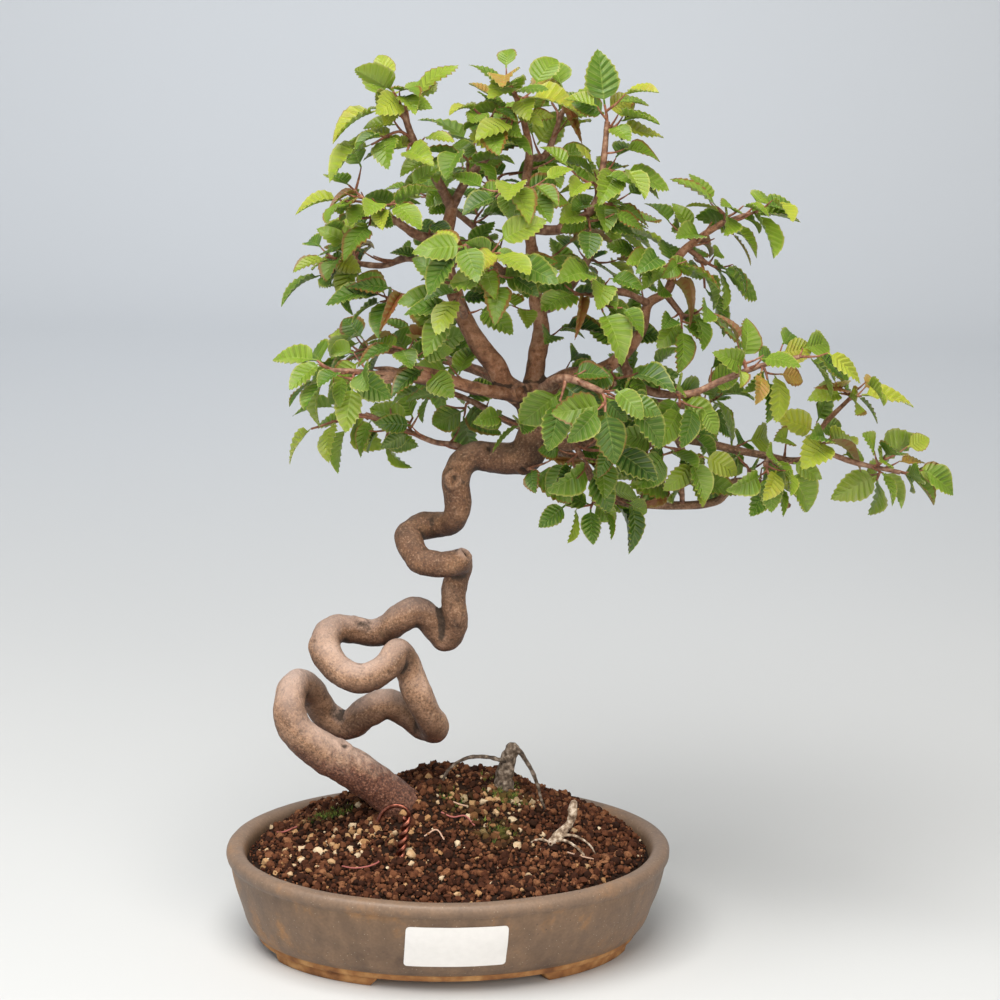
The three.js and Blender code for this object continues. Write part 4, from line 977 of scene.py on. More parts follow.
# The left shelf limb ends in broken, weathered wood: splinters that fan out from its end. Each is given
# by its shift across and up and by its reach in mm.
SPLINTERS = [
    (0, 0, 15), (2.2, -1, 12), (-2.4, 1.5, 13), (1, 2.5, 9), (-1.2, -2.4, 11), (3, 2, 7), (-3.2, -0.6, 8),
]
for dy, dz, reach in SPLINTERS:
    rows = [
        [-27, -21 + 0.4 * dy, 298.5 + 0.4 * dz, 1.9],
        [-33, -22 + dy, 298.5 + dz, 1.7],
        [-31 - reach, -23 + 1.3 * dy, 298 + 1.5 * dz, 0.5],
    ]
    trunk_patches.append(tube(tree_path(rows, 1.5), 7, tone=0.35, kind=0.25))

bark, bark_shader = new_material("hornbeam_bark")
build("trunk_and_limbs", trunk_patches, [bark], ["trunk"])

# %% [markdown]
# Hornbeam bark stays smooth for years: a pinkish light brown, satin, with a pale painted highlight on top,
# fine dark and pale flecks, and algae where rain gathers. Undersides get painted shade, and creases and
# scars are darker. The limbs of the crown are ruddier, and painted lighter where the leaves shade them. Near
# the soil it is rough and red-brown. Noises of three sizes give the clouds, the patches and the flecks.

# %% Bark finish
add = partial(node, bark)
place = add("TexCoord", take="Object")
age, crease, below = (add("Attribute", attribute_name=key, take="Fac") for key in KEYS)
height = add("SeparateXYZ", {"Vector": place}, take="Z")
# Clouds 18 mm across, patches of 4 mm and flecks of 1.2 mm. Real flecks go down to half a millimetre,
# and these are as fine as the picture shows.
cloud = add("TexNoise", {"Vector": place, "Scale": spaced(18.18), "Detail": 6, "Roughness": 0.62})
patchy = add("TexNoise", {"Vector": place, "Scale": spaced(4.348), "Detail": 5, "Roughness": 0.65})
fine = add("TexNoise", {"Vector": place, "Scale": spaced(1.1765), "Detail": 5, "Roughness": 0.7})
smooth_bark = add("ValToRGB", {"Fac": cloud}, stops=[
    (0.3, "#674832"), (0.43, "#8E694E"), (0.56, "#AA8366"), (0.7, "#C6A189")])
old_bark = add("ValToRGB", {"Fac": cloud}, stops=[(0.3, "#482914"), (0.5, "#6C4426"), (0.7, "#91663E")])
colour = add("MixRGB", {"Fac": age, "Color1": smooth_bark, "Color2": old_bark})
mottle = add("ValToRGB", {"Fac": patchy}, stops=[(0.34, 0.6), (0.48, 0.95), (0.64, 1.12)])
fleck = add("ValToRGB", {"Fac": fine}, stops=[(0.40, 0.6), (0.48, 0.0)])
scales = add("ValToRGB", {"Fac": fine}, stops=[(0.54, 0.0), (0.63, 0.42)])
# A pale painted highlight lies on the upward faces of young wood.
painted_highlight = add("MapRange", {"Value": below, "From Min": 0.42, "From Max": 0.02, "To Max": 0.58})
young = add("MapRange", {"Value": age, "From Max": 0.75, "To Min": 1.0, "To Max": 0.15})
painted_highlight = add("Math", {0: painted_highlight, 1: young}, operation="MULTIPLY")
# The crown's limbs, above 258 mm, are ruddier, and painted lighter where the leaves shade them.
ruddy_with_painted_light = add("ValToRGB", {"Fac": patchy}, stops=[(0.36, "#744329"), (0.5, "#B47B56"), (0.64, "#D3A283")])
high = add("MapRange", {"Value": height, "From Min": 258 * MM, "From Max": 290 * MM, "To Max": 0.6})
# Undersides get painted shade, creases and scars are darker in crumbs 2 mm wide, and algae stains are 26 mm
# across.
underside_painted_shade = add("MapRange", {"Value": below, "From Min": 0.44, "From Max": 0.9, "To Max": 0.95})
crumbs = add("TexNoise", {"Vector": place, "Scale": spaced(2.0833), "Detail": 6, "Roughness": 0.75})
crease_darkening = add("Math", {0: crumbs, 1: 2.6, 2: crease}, operation="MULTIPLY_ADD")
crease_darkening = add("MapRange", {"Value": crease_darkening, "From Min": 1.52, "From Max": 2.25, "To Max": 0.88})
algae = add("TexNoise", {"Vector": place, "Scale": spaced(26.32), "Detail": 7, "Roughness": 0.7})
algae = add("MapRange", {"Value": algae, "From Min": 0.56, "From Max": 0.68, "To Max": 0.45})
# The red-brown foot ends in a ragged line, higher on the undersides.
low = add("Math", {0: patchy, 1: 40 * MM, 2: height}, operation="MULTIPLY_ADD")
low = add("Math", {0: below, 1: -14 * MM, 2: low}, operation="MULTIPLY_ADD")
foot = add("MapRange", {"Value": low, "From Min": 122 * MM, "From Max": 104 * MM, "To Max": 0.9})
foot_colour = add("ValToRGB", {"Fac": fine}, stops=[
    (0.35, "#331A12"), (0.5, "#5E3325"), (0.6, "#8A5A44"), (0.72, "#B98F76")])
# The coats are laid one over the other, each by its share.
for share, coat, blend in (
    (0.7, mottle, "MULTIPLY"), (fleck, "#3F2C20", "MIX"), (scales, "#CFAD90", "MIX"),
    (painted_highlight, "#E2C8BC", "MIX"), (high, ruddy_with_painted_light, "MIX"), (underside_painted_shade, "#75533A", "MULTIPLY"),
    (crease_darkening, "#2E2217", "MIX"), (algae, "#5E4C35", "MIX"), (foot, foot_colour, "MIX"),
):
    colour = add("MixRGB", {"Fac": share, "Color1": colour, "Color2": coat}, blend_type=blend)
satin = add("MapRange", {"Value": fine, "To Min": 0.42, "To Max": 0.75})
relief = add("Math", {0: patchy, 1: 1.6, 2: fine}, operation="MULTIPLY_ADD")
bump = add("Bump", {"Height": relief, "Strength": 0.85, "Distance": 1.2 * MM})
complete(bark, bark_shader, {
    "Base Color": colour, "Roughness": satin, "Specular IOR Level": 0.5, "Normal": bump})

# %% [markdown]
# ## The sprays
# Every leafy spray of the frame is a stem with a few twigs, and the rule that grew its leaves there is
# repeated here, with the same seeded draws, so each of those leaves gets its finer twin in the same
# place. The real tree has more leaves than the solids carry: the same rule then grows the rest.

# %% Spray tables
# For each spray: what carries it, its stem's rows of x, y, z and radius, and where its twigs end.
SPRAYS = {
    "crown_left": ("leftRise", [[-13, 2, 393, 2.3], [-21, 0, 405, 2], [-29, -2, 426, 1.4]],
        [[-37, -6, 442], [-17, -2, 443], [-53, -12, 429], [-55, -18, 408], [-29, -32, 409]]),
    "crown_middle": ("leftRise", [[3, 6, 390, 2.2], [14, 8, 403, 1.9], [24, 10, 414, 1.4]],
        [[20, 4, 436], [0, 0, 437], [-2, -30, 415], [15, -22, 423]]),
    "crown_shoulder": ("leftRise", [[-19, -6, 364, 2.2], [-29, -12, 371, 1.9], [-45, -18, 382, 1.4]],
        [[-63, -4, 396], [-71, -14, 385], [-48, -34, 366], [-27, -44, 389]]),
    "crown_flank": ("leftRise", [[-12, 9, 348, 2.3], [-25, 15, 350, 1.9], [-38, 20, 345, 1.6],
        [-56, 24, 346, 1.2]],
        [[-78, 12, 352], [-82, 16, 336], [-62, 34, 325], [-55, 30, 365]]),
    "left_lift": ("leftRise", [[-14, -12, 340, 1.7], [-28, -20, 335, 1.3]],
        [[-49, -10, 330], [-15, -42, 330]]),
    "left_front": ("leftRise", [[3, -26, 331, 1.8], [0, -46, 341, 1.4]],
        [[-8, -56, 329], [4, -62, 358]]),
    "shelf_tip": ("leftShelf", [[-45, -24, 300, 1.6], [-61, -26, 301, 1.2]],
        [[-76, -20, 309], [-75, -28, 289], [-52, -44, 290]]),
    "shelf_middle": ("leftShelf", [[-23, -22, 309, 1.5]],
        [[-39, -30, 320], [-26, -4, 314]]),
    "left_low": ("trunk", [[1, 14, 256, 1.6], [-11, 22, 256, 1.4], [-24, 27, 260, 1.3],
        [-46, 30, 268, 1.1]],
        [[-68, 36, 254], [-87, 24, 260], [-43, 34, 245], [-23, 46, 271]]),
    "left_thin": ("trunk", [[25, 16, 269, 1.9], [9, 24, 276, 1.6], [-6, 30, 281, 1.2]],
        [[-22, 40, 278], [-1, 38, 259]]),
    "back_left": ("leftRise", [[12, 38, 289, 2.7], [-18, 56, 294, 2.1], [-45, 62, 295, 1.4]],
        [[-69, 62, 290], [-86, 46, 277], [-15, 74, 303], [-11, 80, 274]]),
    "heart_top": ("heart", [[25, -4, 434, 1.2]],
        [[12, -4, 445], [37, -8, 435], [19, -24, 415]]),
    "heart_front": ("heart", [[30, -16, 386, 1.7], [25, -34, 393, 1.3]],
        [[9, -46, 384], [41, -46, 388]]),
    "crown_top": ("heart", [[41, 14, 402, 1.7], [49, 18, 423, 1.3]],
        [[56, 16, 436], [41, 32, 436]]),
    "crown_right": ("heart", [[51, -4, 369, 2.4], [65, -8, 381, 2.1], [68, -8, 396, 1.8],
        [70, -6, 421, 1.3]],
        [[67, -8, 440], [83, -6, 420], [88, -10, 400], [86, -18, 383], [54, -36, 399], [67, -38, 369]]),
    "crown_back": ("heart", [[22, 22, 376, 2], [9, 36, 396, 1.4]],
        [[-5, 40, 416], [17, 38, 427], [39, 52, 395]]),
    "right_back": ("heart", [[50, 30, 328, 2.6], [64, 44, 347, 2], [75, 50, 370, 1.4]],
        [[64, 54, 396], [94, 36, 362], [82, 62, 339]]),
    "right_crest": ("rightRise", [[138, -2, 377, 1.1]],
        [[153, 0, 380], [138, 8, 360], [121, -6, 388]]),
    "right_side": ("rightRise", [[121, 10, 351, 1.4]],
        [[137, 12, 343], [114, 22, 374], [125, 18, 326]]),
    "right_inner": ("rightRise", [[93, -14, 352, 1.4]],
        [[84, -16, 364], [109, -24, 358]]),
    "right_knee": ("rightRise", [[110, -8, 327, 1.4]],
        [[125, -10, 331], [111, -26, 315]]),
    "right_front": ("rightRise", [[78, -12, 340, 1.7], [63, -20, 339, 1.3]],
        [[46, -38, 342], [68, -46, 329], [57, -40, 358]]),
    "right_middle": ("rightRise", [[89, -16, 294, 2.3], [112, -22, 292, 1.9], [127, -24, 299, 1.6],
        [146, -24, 307, 1.3], [165, -24, 312, 1.1]],
        [[178, -22, 312], [154, -32, 296], [138, -20, 317], [112, -44, 282]]),
    "front_shelf": ("rightRise", [[76, -30, 298, 1.5]],
        [[70, -50, 292], [93, -46, 307]]),
    "right_lift": ("rightLong", [[196, 0, 288, 1]],
        [[204, 0, 290], [183, -14, 295]]),
    "right_below": ("rightLong", [[152, -14, 256, 1.4]],
        [[154, -26, 248], [172, -14, 245]]),
    "right_fill": ("rightLong", [[112, -14, 261, 1.5]],
        [[122, -24, 252], [93, -30, 260]]),
    "right_tip": ("rightLong", [[196, 2, 255, 1.4], [220, 2, 250, 1.1]],
        [[232, 4, 247], [216, -8, 266], [190, -16, 274], [211, 12, 237]]),
    "low_near": ("rightLow", [[69, 6, 231, 1.3]],
        [[65, -4, 224], [89, 10, 219]]),
    "low_middle": ("rightLow", [[113, 12, 238, 1.3]],
        [[121, 4, 247], [98, 6, 243]]),
    "low_end": ("rightLow", [[146, 8, 248, 1.2]],
        [[142, 2, 257], [167, 18, 240]]),
    "back_right": ("rightRise", [[62, 38, 275, 2.8], [93, 58, 272, 2.1], [124, 64, 267, 1.5]],
        [[144, 64, 280], [139, 60, 249], [93, 68, 296], [82, 66, 245]]),
    "back_low": ("rightLong", [[96, 26, 255, 1.6]],
        [[119, 42, 262], [93, 40, 237]]),
    "front_right": ("rightRise", [[42, -28, 295, 2.5], [52, -48, 304, 2], [70, -60, 300, 1.4]],
        [[74, -68, 282], [96, -58, 288], [48, -60, 284]]),
    "front_low": ("rightLong", [[62, -18, 259, 1.5]],
        [[72, -30, 247], [49, -22, 251], [86, -42, 267]]),
    "crown_front": ("heart", [[31, -26, 344, 2.3], [16, -48, 359, 1.8], [4, -56, 368, 1.3]],
        [[-10, -68, 361], [20, -62, 343], [25, -70, 370]]),
    "back_crown_left": ("heart", [[27, 40, 342, 2.3], [7, 58, 359, 1.8], [-12, 62, 373, 1.4]],
        [[-31, 66, 375], [-15, 58, 395], [-7, 74, 337], [14, 68, 377]]),
    "trunk_shoot": ("trunk", [[36, -8, 250, 1.1]],
        [[44, -12, 248]]),
    "trunk_sprig": ("trunk", [[32, -8, 270, 1]],
        [[31, -18, 278]]),
}

# %% Stems and twigs
# The solids' rule, in mm and shares: how twigs start, bend and end, and how a stem flares into its seat.
TWIG_RADIUS = 0.9
TIP_LEAF = 14
LEAST_TWIG = 0.5
TWIG_SET_BACK = 0.35
TWIG_BEND, TWIG_LIFT = 0.4, 0.08
LEADER_SINK = 2.5
LONG_TWIG = 24
TRUNK_STEP = 9.5
STEM_FLARE, STEM_INSIDE = 1.1, 0.96
UP = np.array([0.0, 0.0, 1.0])
FRONT = np.array([0.0, -1.0, 0.0])


def unit(vector):
    """A vector over its own length."""
    return vector / np.linalg.norm(vector)


def carrier_line(rows):
    """The solids' own path: rows turned as the tree stands, about the pot's middle."""
    rows = np.array(rows, float)
    rows[:, :3] = turned(rows[:, :3])
    return rows


def nearest(path, place):
    """Index and share of the point of a path nearest to a place."""
    best = (np.inf, 0, 0.0)
    for i in range(len(path) - 1):
        a = path[i, :3]
        span = path[i + 1, :3] - a
        share = min(max((place - a) @ span / (span @ span), 0), 1) if span @ span > 0 else 0
        distance = np.linalg.norm(a + share * span - place)
        if distance < best[0]:
            best = (distance, i, share)
    return best


def point_on(path, i, share):
    """Place, radius and direction at a share of segment i."""
    row = path[i] + share * (path[i + 1] - path[i])
    return row[:3], row[3], unit(path[i + 1, :3] - path[i, :3])


def set_back(path, i, share, length):
    """The same place moved back along the path by a length."""
    span = np.linalg.norm(path[i + 1, :3] - path[i, :3])
    while length > share * span and i > 0:
        length -= share * span
        i -= 1
        share = 1
        span = np.linalg.norm(path[i + 1, :3] - path[i, :3])
    return i, max(share - length / span, 0)


def twig_path(stem, spread, leader):
    """Three points: it starts along the stem, bends, and ends short of where its foliage ends."""
    distance, i, share = nearest(stem, spread)
    if leader:
        i, share = set_back(stem, len(stem) - 2, 1, LEADER_SINK)
    else:
        i, share = set_back(stem, i, share, TWIG_SET_BACK * distance)
    start, _, along = point_on(stem, i, share)
    whole = np.linalg.norm(spread - start)
    reach = max(whole - TIP_LEAF, LEAST_TWIG * whole)
    tip = start + (spread - start) * reach / whole
    bend = start + along * TWIG_BEND * reach + UP * TWIG_LIFT * reach
    middle = start * 0.25 + bend * 0.5 + tip * 0.25
    return np.column_stack([[start, middle, tip], np.full(3, TWIG_RADIUS)])


def grow_wood(carrier, stem_rows, tip_rows):
    """A stem from the axis of the wood that carries it, and its twigs."""
    rows = carrier_line(stem_rows)
    seat, radius, _ = point_on(carriers[carrier], *nearest(carriers[carrier], rows[0, :3])[1:])
    stem = np.vstack([[*seat, min(rows[0, 3] * STEM_FLARE, radius * STEM_INSIDE)], rows])
    return stem, [twig_path(stem, turned(tip), k == 0) for k, tip in enumerate(tip_rows)]


carriers = {"trunk": np.vstack([carrier_line(smooth_path(run, TRUNK_STEP)) for run in TRUNK])}
carriers.update({name: carrier_line(rows) for name, rows in LIMBS.items()})
sprays = {name: grow_wood(*rows) for name, rows in SPRAYS.items()}
print("sprays:", len(sprays), "twigs:", sum(len(twigs) for _, twigs in sprays.values()))

# %% [markdown]
# A leaf stands clear when none of its sample points comes too near another leaf's, or wood. It is tried
# up to twelve times, each time a little looser in its aim, and left out if there is no room.

# %% What a leaf is and how it may stand
# The outline of the solids' leaf: share of its length, and of its greatest half width, there.
BLADE = np.array([[0, 0.11], [0.34, 1], [0.55, 0.74], [0.66, 0.82], [1, 0]])
BLADE_HALF_WIDTH = 0.31
STEEP = 0.2
LEAF_SHARES = (0.76, 0.5)
OWN_WOOD_CLEAR = 1.1
# Half of a leaf's reach about its middle, as a share of its length, and its arch along the midrib.
LEAF_REACH = 0.6
ARCH_RISE, ARCH_DROP = 0.2, 0.4
# How the leaves of the solids stand: their lengths, how far apart they keep, how much they may turn.
FRAME_LEAVES = {
    "lengths": (18, 28), "clear": 3.3, "wood_clear": 2, "tries": 12, "droop": 0, "lean": (0.62, 0.45, 0.25),
    "least_turn": 0.4, "least_aim": 0.68, "pruned": False,
}
# The first try strays by this much and each further one by a little more, and the last are smaller.
STRAY, STRAY_MORE = 0.3, 0.06
LATE_TRY, LATE_SIZE = 7, 0.8
BENDS = (0.4, 1.3)
# How a leaf aims: along its twig (at the tip and beside it), off the twig, and out of the crown.
AIM_ALONG_TIP, AIM_ALONG_SIDE, AIM_OFF, AIM_OUT = 0.3, 0.5, 0.85, 0.3
CROWN_HEART = turned([30, 0, 300])
SAMPLE_ALONG = np.arange(2, 11) / 10
SAMPLE_ACROSS = np.arange(-3, 4) / 3
WOOD_SAMPLE_STEP = 2

# Leaf samples as share of length and half width, outermost rows last: 9 rows of 7 points.
SAMPLE_SHARE = np.repeat(SAMPLE_ALONG, len(SAMPLE_ACROSS))
SAMPLE_SIDE = np.outer(np.interp(SAMPLE_ALONG, *BLADE.T), SAMPLE_ACROSS).ravel()

# The solids' seeded draws come from this rule, so they are the same in any language.
DRAW_FACTOR, DRAW_STEP, DRAW_RANGE = 1664525, 1013904223, 2 ** 32
draws = {"seed": 4711}


def draw(low, high):
    """The frame's own seeded draw: seed = (seed * factor + step) mod 2^32, scaled to the range."""
    draws["seed"] = (draws["seed"] * DRAW_FACTOR + DRAW_STEP) % DRAW_RANGE
    return low + (high - low) * draws["seed"] / DRAW_RANGE


def jitter():
    """Three draws from -1 to 1, as a vector."""
    return np.array([draw(-1, 1), draw(-1, 1), draw(-1, 1)])


def leaf_points(leaf, share, side):
    """Points of a leaf: base + along share L + side share 0.31 L + an arch L bend (0.2 s - 0.4 s^2)."""
    length = leaf["length"]
    height = length * leaf["bend"] * (ARCH_RISE * share - ARCH_DROP * share * share)
    return (leaf["base"] + np.outer(share * length, leaf["along"])
            + np.outer(side * length * BLADE_HALF_WIDTH, leaf["side"]) + np.outer(height, leaf["face"]))


def wood_samples(path):
    """Places and radii along a path, at even steps no longer than WOOD_SAMPLE_STEP."""
    rows = []
    for a, b in zip(path[:-1], path[1:]):
        count = max(1, math.ceil(np.linalg.norm(b[:3] - a[:3]) / WOOD_SAMPLE_STEP))
        rows.append(a + np.linspace(0, 1, count + 1)[:, None] * (b - a))
    return np.vstack(rows)


def twig_frame(twig, share):
    """Place, direction, level across and face of a twig's middle line at a share of its length."""
    i, part = (0, 2 * share) if share < 0.5 else (1, 2 * share - 1)
    at = twig[i, :3] + part * (twig[i + 1, :3] - twig[i, :3])
    first, second = unit(twig[1, :3] - twig[0, :3]), unit(twig[2, :3] - twig[1, :3])
    along = unit(first + share * (second - first))
    whole = unit(twig[2, :3] - twig[0, :3])
    level = np.cross(whole, UP)
    level = unit(level if np.linalg.norm(level) > STEEP else np.cross(whole, FRONT))
    across = unit(level - along * (level @ along))
    return at, along, across, np.cross(across, along)


# %% The crown's record
class Crown:
    """Every leaf and piece of wood so far, as stacked sample points with their owners."""

    def __init__(self):
        self.leaves = []
        self.middles = np.empty((0, 3))
        self.reaches = np.empty(0)
        self.samples = np.empty((0, len(SAMPLE_SHARE), 3))
        self.wood = []

    def add_wood(self, spray, path):
        """Keeps a path's samples with the spray that owns it."""
        self.wood.append((spray, wood_samples(path)))

    def stack_wood(self):
        """Turns all wood kept so far into three arrays: places, radii and owners."""
        self.wood_points = np.vstack([rows[:, :3] for _, rows in self.wood])
        self.wood_radius = np.concatenate([rows[:, 3] for _, rows in self.wood])
        owners = [np.full(len(rows), spray, dtype=object) for spray, rows in self.wood]
        self.wood_owner = np.concatenate(owners)

    def clear(self, leaf, spray, habit):
        """Whether a leaf keeps its distance; if so it joins the crown."""
        samples = leaf_points(leaf, SAMPLE_SHARE, SAMPLE_SIDE)
        middle = leaf_points(leaf, np.array([0.5]), np.zeros(1))[0]
        reach = leaf["length"] * LEAF_REACH
        near = np.linalg.norm(self.middles - middle, axis=1) <= reach + self.reaches + habit["clear"]
        if near.any():
            others = self.samples[near].reshape(-1, 3)
            gap = np.min(np.sum((samples[:, None] - others[None]) ** 2, -1))
            if gap < habit["clear"] ** 2:
                return False
        own = self.wood_owner == spray
        least = np.where(own, OWN_WOOD_CLEAR, habit["wood_clear"])
        close = np.linalg.norm(self.wood_points - middle, axis=1) <= reach + self.wood_radius + least
        if close.any():
            apart = np.linalg.norm(samples[:, None] - self.wood_points[close][None], axis=-1)
            short = apart < (self.wood_radius[close] + least[close])[None]
            short[:len(SAMPLE_ACROSS), own[close]] = False
            if short.any():
                return False
        self.leaves.append({**leaf, "spray": spray})
        self.middles = np.vstack([self.middles, middle])
        self.reaches = np.append(self.reaches, reach)
        self.samples = np.concatenate([self.samples, samples[None]])
        return True


def in_window(leaf):
    """Whether a leaf hides wood that pruning left open to the front. What stands nearer to the camera
    is seen lower, by the tangent of the camera's pitch."""
    x, y, z = leaf_points(leaf, np.array([0.5]), np.zeros(1))[0] @ TURN
    seen = z + y * math.tan(math.radians(CAMERA_PITCH))
    return any(y < depth and math.hypot(x - wx, seen - wz) < reach for wx, wz, reach, depth in WINDOWS)


def grow_leaf(crown, spray, twig, share, beside, habit):
    """A leaf beside a twig (-1 or 1) or at its tip (0), tried until it stands clear."""
    at, along, across, up = twig_frame(twig, share)
    out = unit(at - CROWN_HEART)
    outward = along if beside == 0 else across * beside
    start = at + across * beside * TWIG_RADIUS
    weights = habit["lean"]
    aim_along = AIM_ALONG_TIP if beside == 0 else AIM_ALONG_SIDE
    for attempt in range(habit["tries"]):
        loose = STRAY + STRAY_MORE * attempt
        face = unit(up * weights[0] + out * weights[1] + FRONT * weights[2] + jitter() * loose)
        aim = along * aim_along + outward * AIM_OFF + out * AIM_OUT + jitter() * loose
        aim = aim - UP * habit["droop"]
        direction = unit(aim - face * (aim @ face))
        length = draw(*habit["lengths"]) * (LATE_SIZE if attempt > LATE_TRY else 1)
        bend = draw(*BENDS)
        if face @ up < habit["least_turn"] or direction @ outward < habit["least_aim"]:
            continue
        leaf = {"base": start, "along": direction, "face": face, "side": np.cross(face, direction),
                "length": length, "bend": bend, "at_tip": beside == 0}
        if habit["pruned"] and in_window(leaf):
            continue
        if crown.clear(leaf, spray, habit):
            return True
    return False


# %% Grow the solids' leaves again
crown = Crown()
for path in carriers.values():
    crown.add_wood("", path)
for name, (stem, twigs) in sprays.items():
    for path in (stem, *twigs):
        crown.add_wood(name, path)
crown.stack_wood()
for name, (stem, twigs) in sprays.items():
    for k, twig in enumerate(twigs):
        first = 1 if k % 2 == 0 else -1
        grow_leaf(crown, name, twig, 1, 0, FRAME_LEAVES)
        grow_leaf(crown, name, twig, LEAF_SHARES[0], first, FRAME_LEAVES)
        if np.linalg.norm(twig[0, :3] - twig[2, :3]) > LONG_TWIG:
            grow_leaf(crown, name, twig, LEAF_SHARES[1], -first, FRAME_LEAVES)
print("leaves of the frame:", len(crown.leaves))

# %% [markdown]
# The extra leaves stand in the gaps: more places along each twig, and short side shoots with a few
# leaves each. They may come closer to each other than the solids may.

# %% Grow the rest of the foliage
EXTRA_SHARES = (0.3, 0.62, 0.88)
# No extra leaf stands nearer to its twig's start than this, in mm.
EXTRA_FROM = 4
EXTRA_LEAVES = {
    "lengths": (14, 24), "clear": 2.1, "wood_clear": 0.8, "tries": 5, "droop": 0.35,
    "lean": (0.5, 0.55, 0.4), "least_turn": 0.1, "least_aim": 0.35, "pruned": True,
}
# Gaps where the trunk's head and the limbs are seen: x, height, radius, and how far back they stay open.
WINDOWS = [
    (24, 298, 17, 8), (42, 281, 14, 8), (0, 266, 13, 60), (36, 250, 12, 20), (-22, 262, 9, 60),
    (6, 318, 9, 4), (42, 335, 8, 0), (100, 246, 9, 60), (20, 362, 8, 0),
]
# Shoots leave a twig and a thin limb at these shares of a stretch, with leaves at these shares of them.
SHOOT_RADII = [0.75, 0.65, 0.5]
TWIG_SHOOTS, TWIG_SHOOT_LENGTHS, TWIG_SHOOT_LEAVES = (0.35, 0.7), (7, 15), (0.55,)
LIMB_SHOOT, LIMB_SHOOT_LENGTHS, LIMB_SHOOT_LEAVES = 0.3, (10, 22), (0.75, 0.45)
# A limb thicker than this has no shoots of its own.
BARE_RADIUS = 4.3
# Every nineteenth leaf is dead, past the first six to a spray.
DEAD_FROM, DEAD_EVERY = 6 * len(sprays), 19
shoots = {name: [] for name in [*sprays, "limbs"]}


def side_shoot(twig, share, beside, length):
    """A short shoot that leaves a twig sideways and lifts a little: three points."""
    at, along, across, face = twig_frame(twig, share)
    aim = unit(along * 0.6 + across * beside * 0.8 + face * 0.25 + jitter() * 0.35)
    middle = at + aim * length * 0.55
    tip = middle + unit(aim + UP * 0.25) * length * 0.45
    return np.column_stack([[at, middle, tip], SHOOT_RADII])


def leafy_shoot(owner, path, share, beside, length, shares):
    """A side shoot with a leaf at its tip and others down its sides. Of those where no leaf found room,
    half stay as bare twigs."""
    shoot = side_shoot(path, share, beside, length)
    grown = [grow_leaf(crown, owner, shoot, 1, 0, EXTRA_LEAVES)]
    for k, place in enumerate(shares):
        grown.append(grow_leaf(crown, owner, shoot, place, beside if k % 2 else -beside, EXTRA_LEAVES))
    if any(grown) or draw(0, 1) < 0.5:
        shoots[owner].append(shoot)


for name, (stem, twigs) in sprays.items():
    for k, twig in enumerate(twigs):
        length = np.linalg.norm(twig[0, :3] - twig[2, :3])
        for j, share in enumerate(EXTRA_SHARES):
            if length * share > EXTRA_FROM:
                grow_leaf(crown, name, twig, share, 1 if (j + k) % 2 == 0 else -1, EXTRA_LEAVES)
    stretches = [stem[i:i + 3] for i in range(len(stem) - 2)]
    for k, path in enumerate(twigs + stretches):
        for j, share in enumerate(TWIG_SHOOTS):
            long = draw(*TWIG_SHOOT_LENGTHS)
            leafy_shoot(name, path, share, 1 if (j + k) % 2 else -1, long, TWIG_SHOOT_LEAVES)
for name, path in carriers.items():
    for k in range(len(path) - 2):
        if name != "trunk" and path[k + 1, 3] < BARE_RADIUS:
            long = draw(*LIMB_SHOOT_LENGTHS)
            leafy_shoot("limbs", path[k:k + 3], LIMB_SHOOT, 1 if k % 2 else -1, long, LIMB_SHOOT_LEAVES)
for k, leaf in enumerate(crown.leaves):
    leaf["dead"] = float(k >= DEAD_FROM and (k - DEAD_FROM) % DEAD_EVERY == 0)
print("leaves in all:", len(crown.leaves), "shoots:", sum(len(paths) for paths in shoots.values()))

# %% [markdown]
# The hornbeam's leaf: an oval with a drawn-out tip, a toothed edge, and pairs of straight side veins
# with the blade pleated between them. The grid's rows run along the veins, so the pleats and the teeth
# come out of the rows' own order. Hundreds of leaves need a light mesh, so a row has three points on
# top, at the edges and the midrib, and one below; flat faces keep the pleats crisp.

# %% Leaf surface
VEIN_PAIRS = 8
ROWS = 2 * VEIN_PAIRS + 2
STALK_SHARE = 0.1
# Depth of a pleat and reach of a tooth to each side, as shares of the leaf's length.
PLEAT = 0.025
TOOTH_AHEAD, TOOTH_BACK = 0.013, -0.008
# A dead leaf is shrunk to this share of its width.
DEAD_WIDTH = 0.5
TOP = np.arange(3 * ROWS).reshape(ROWS, 3)
UNDER = TOP.copy()
UNDER[1:-1, 1] = 3 * ROWS + np.arange(ROWS - 2)
LEAF_QUADS = np.vstack([grid_quads(ROWS, 3)[:, ::-1], UNDER.ravel()[grid_quads(ROWS, 3)]])


def blade_width(s):
    """Half width over its greatest at a share s of the blade: s^0.5 (1 - s)^0.9 / 0.402."""
    return s ** 0.5 * (1 - s) ** 0.9 / 0.402


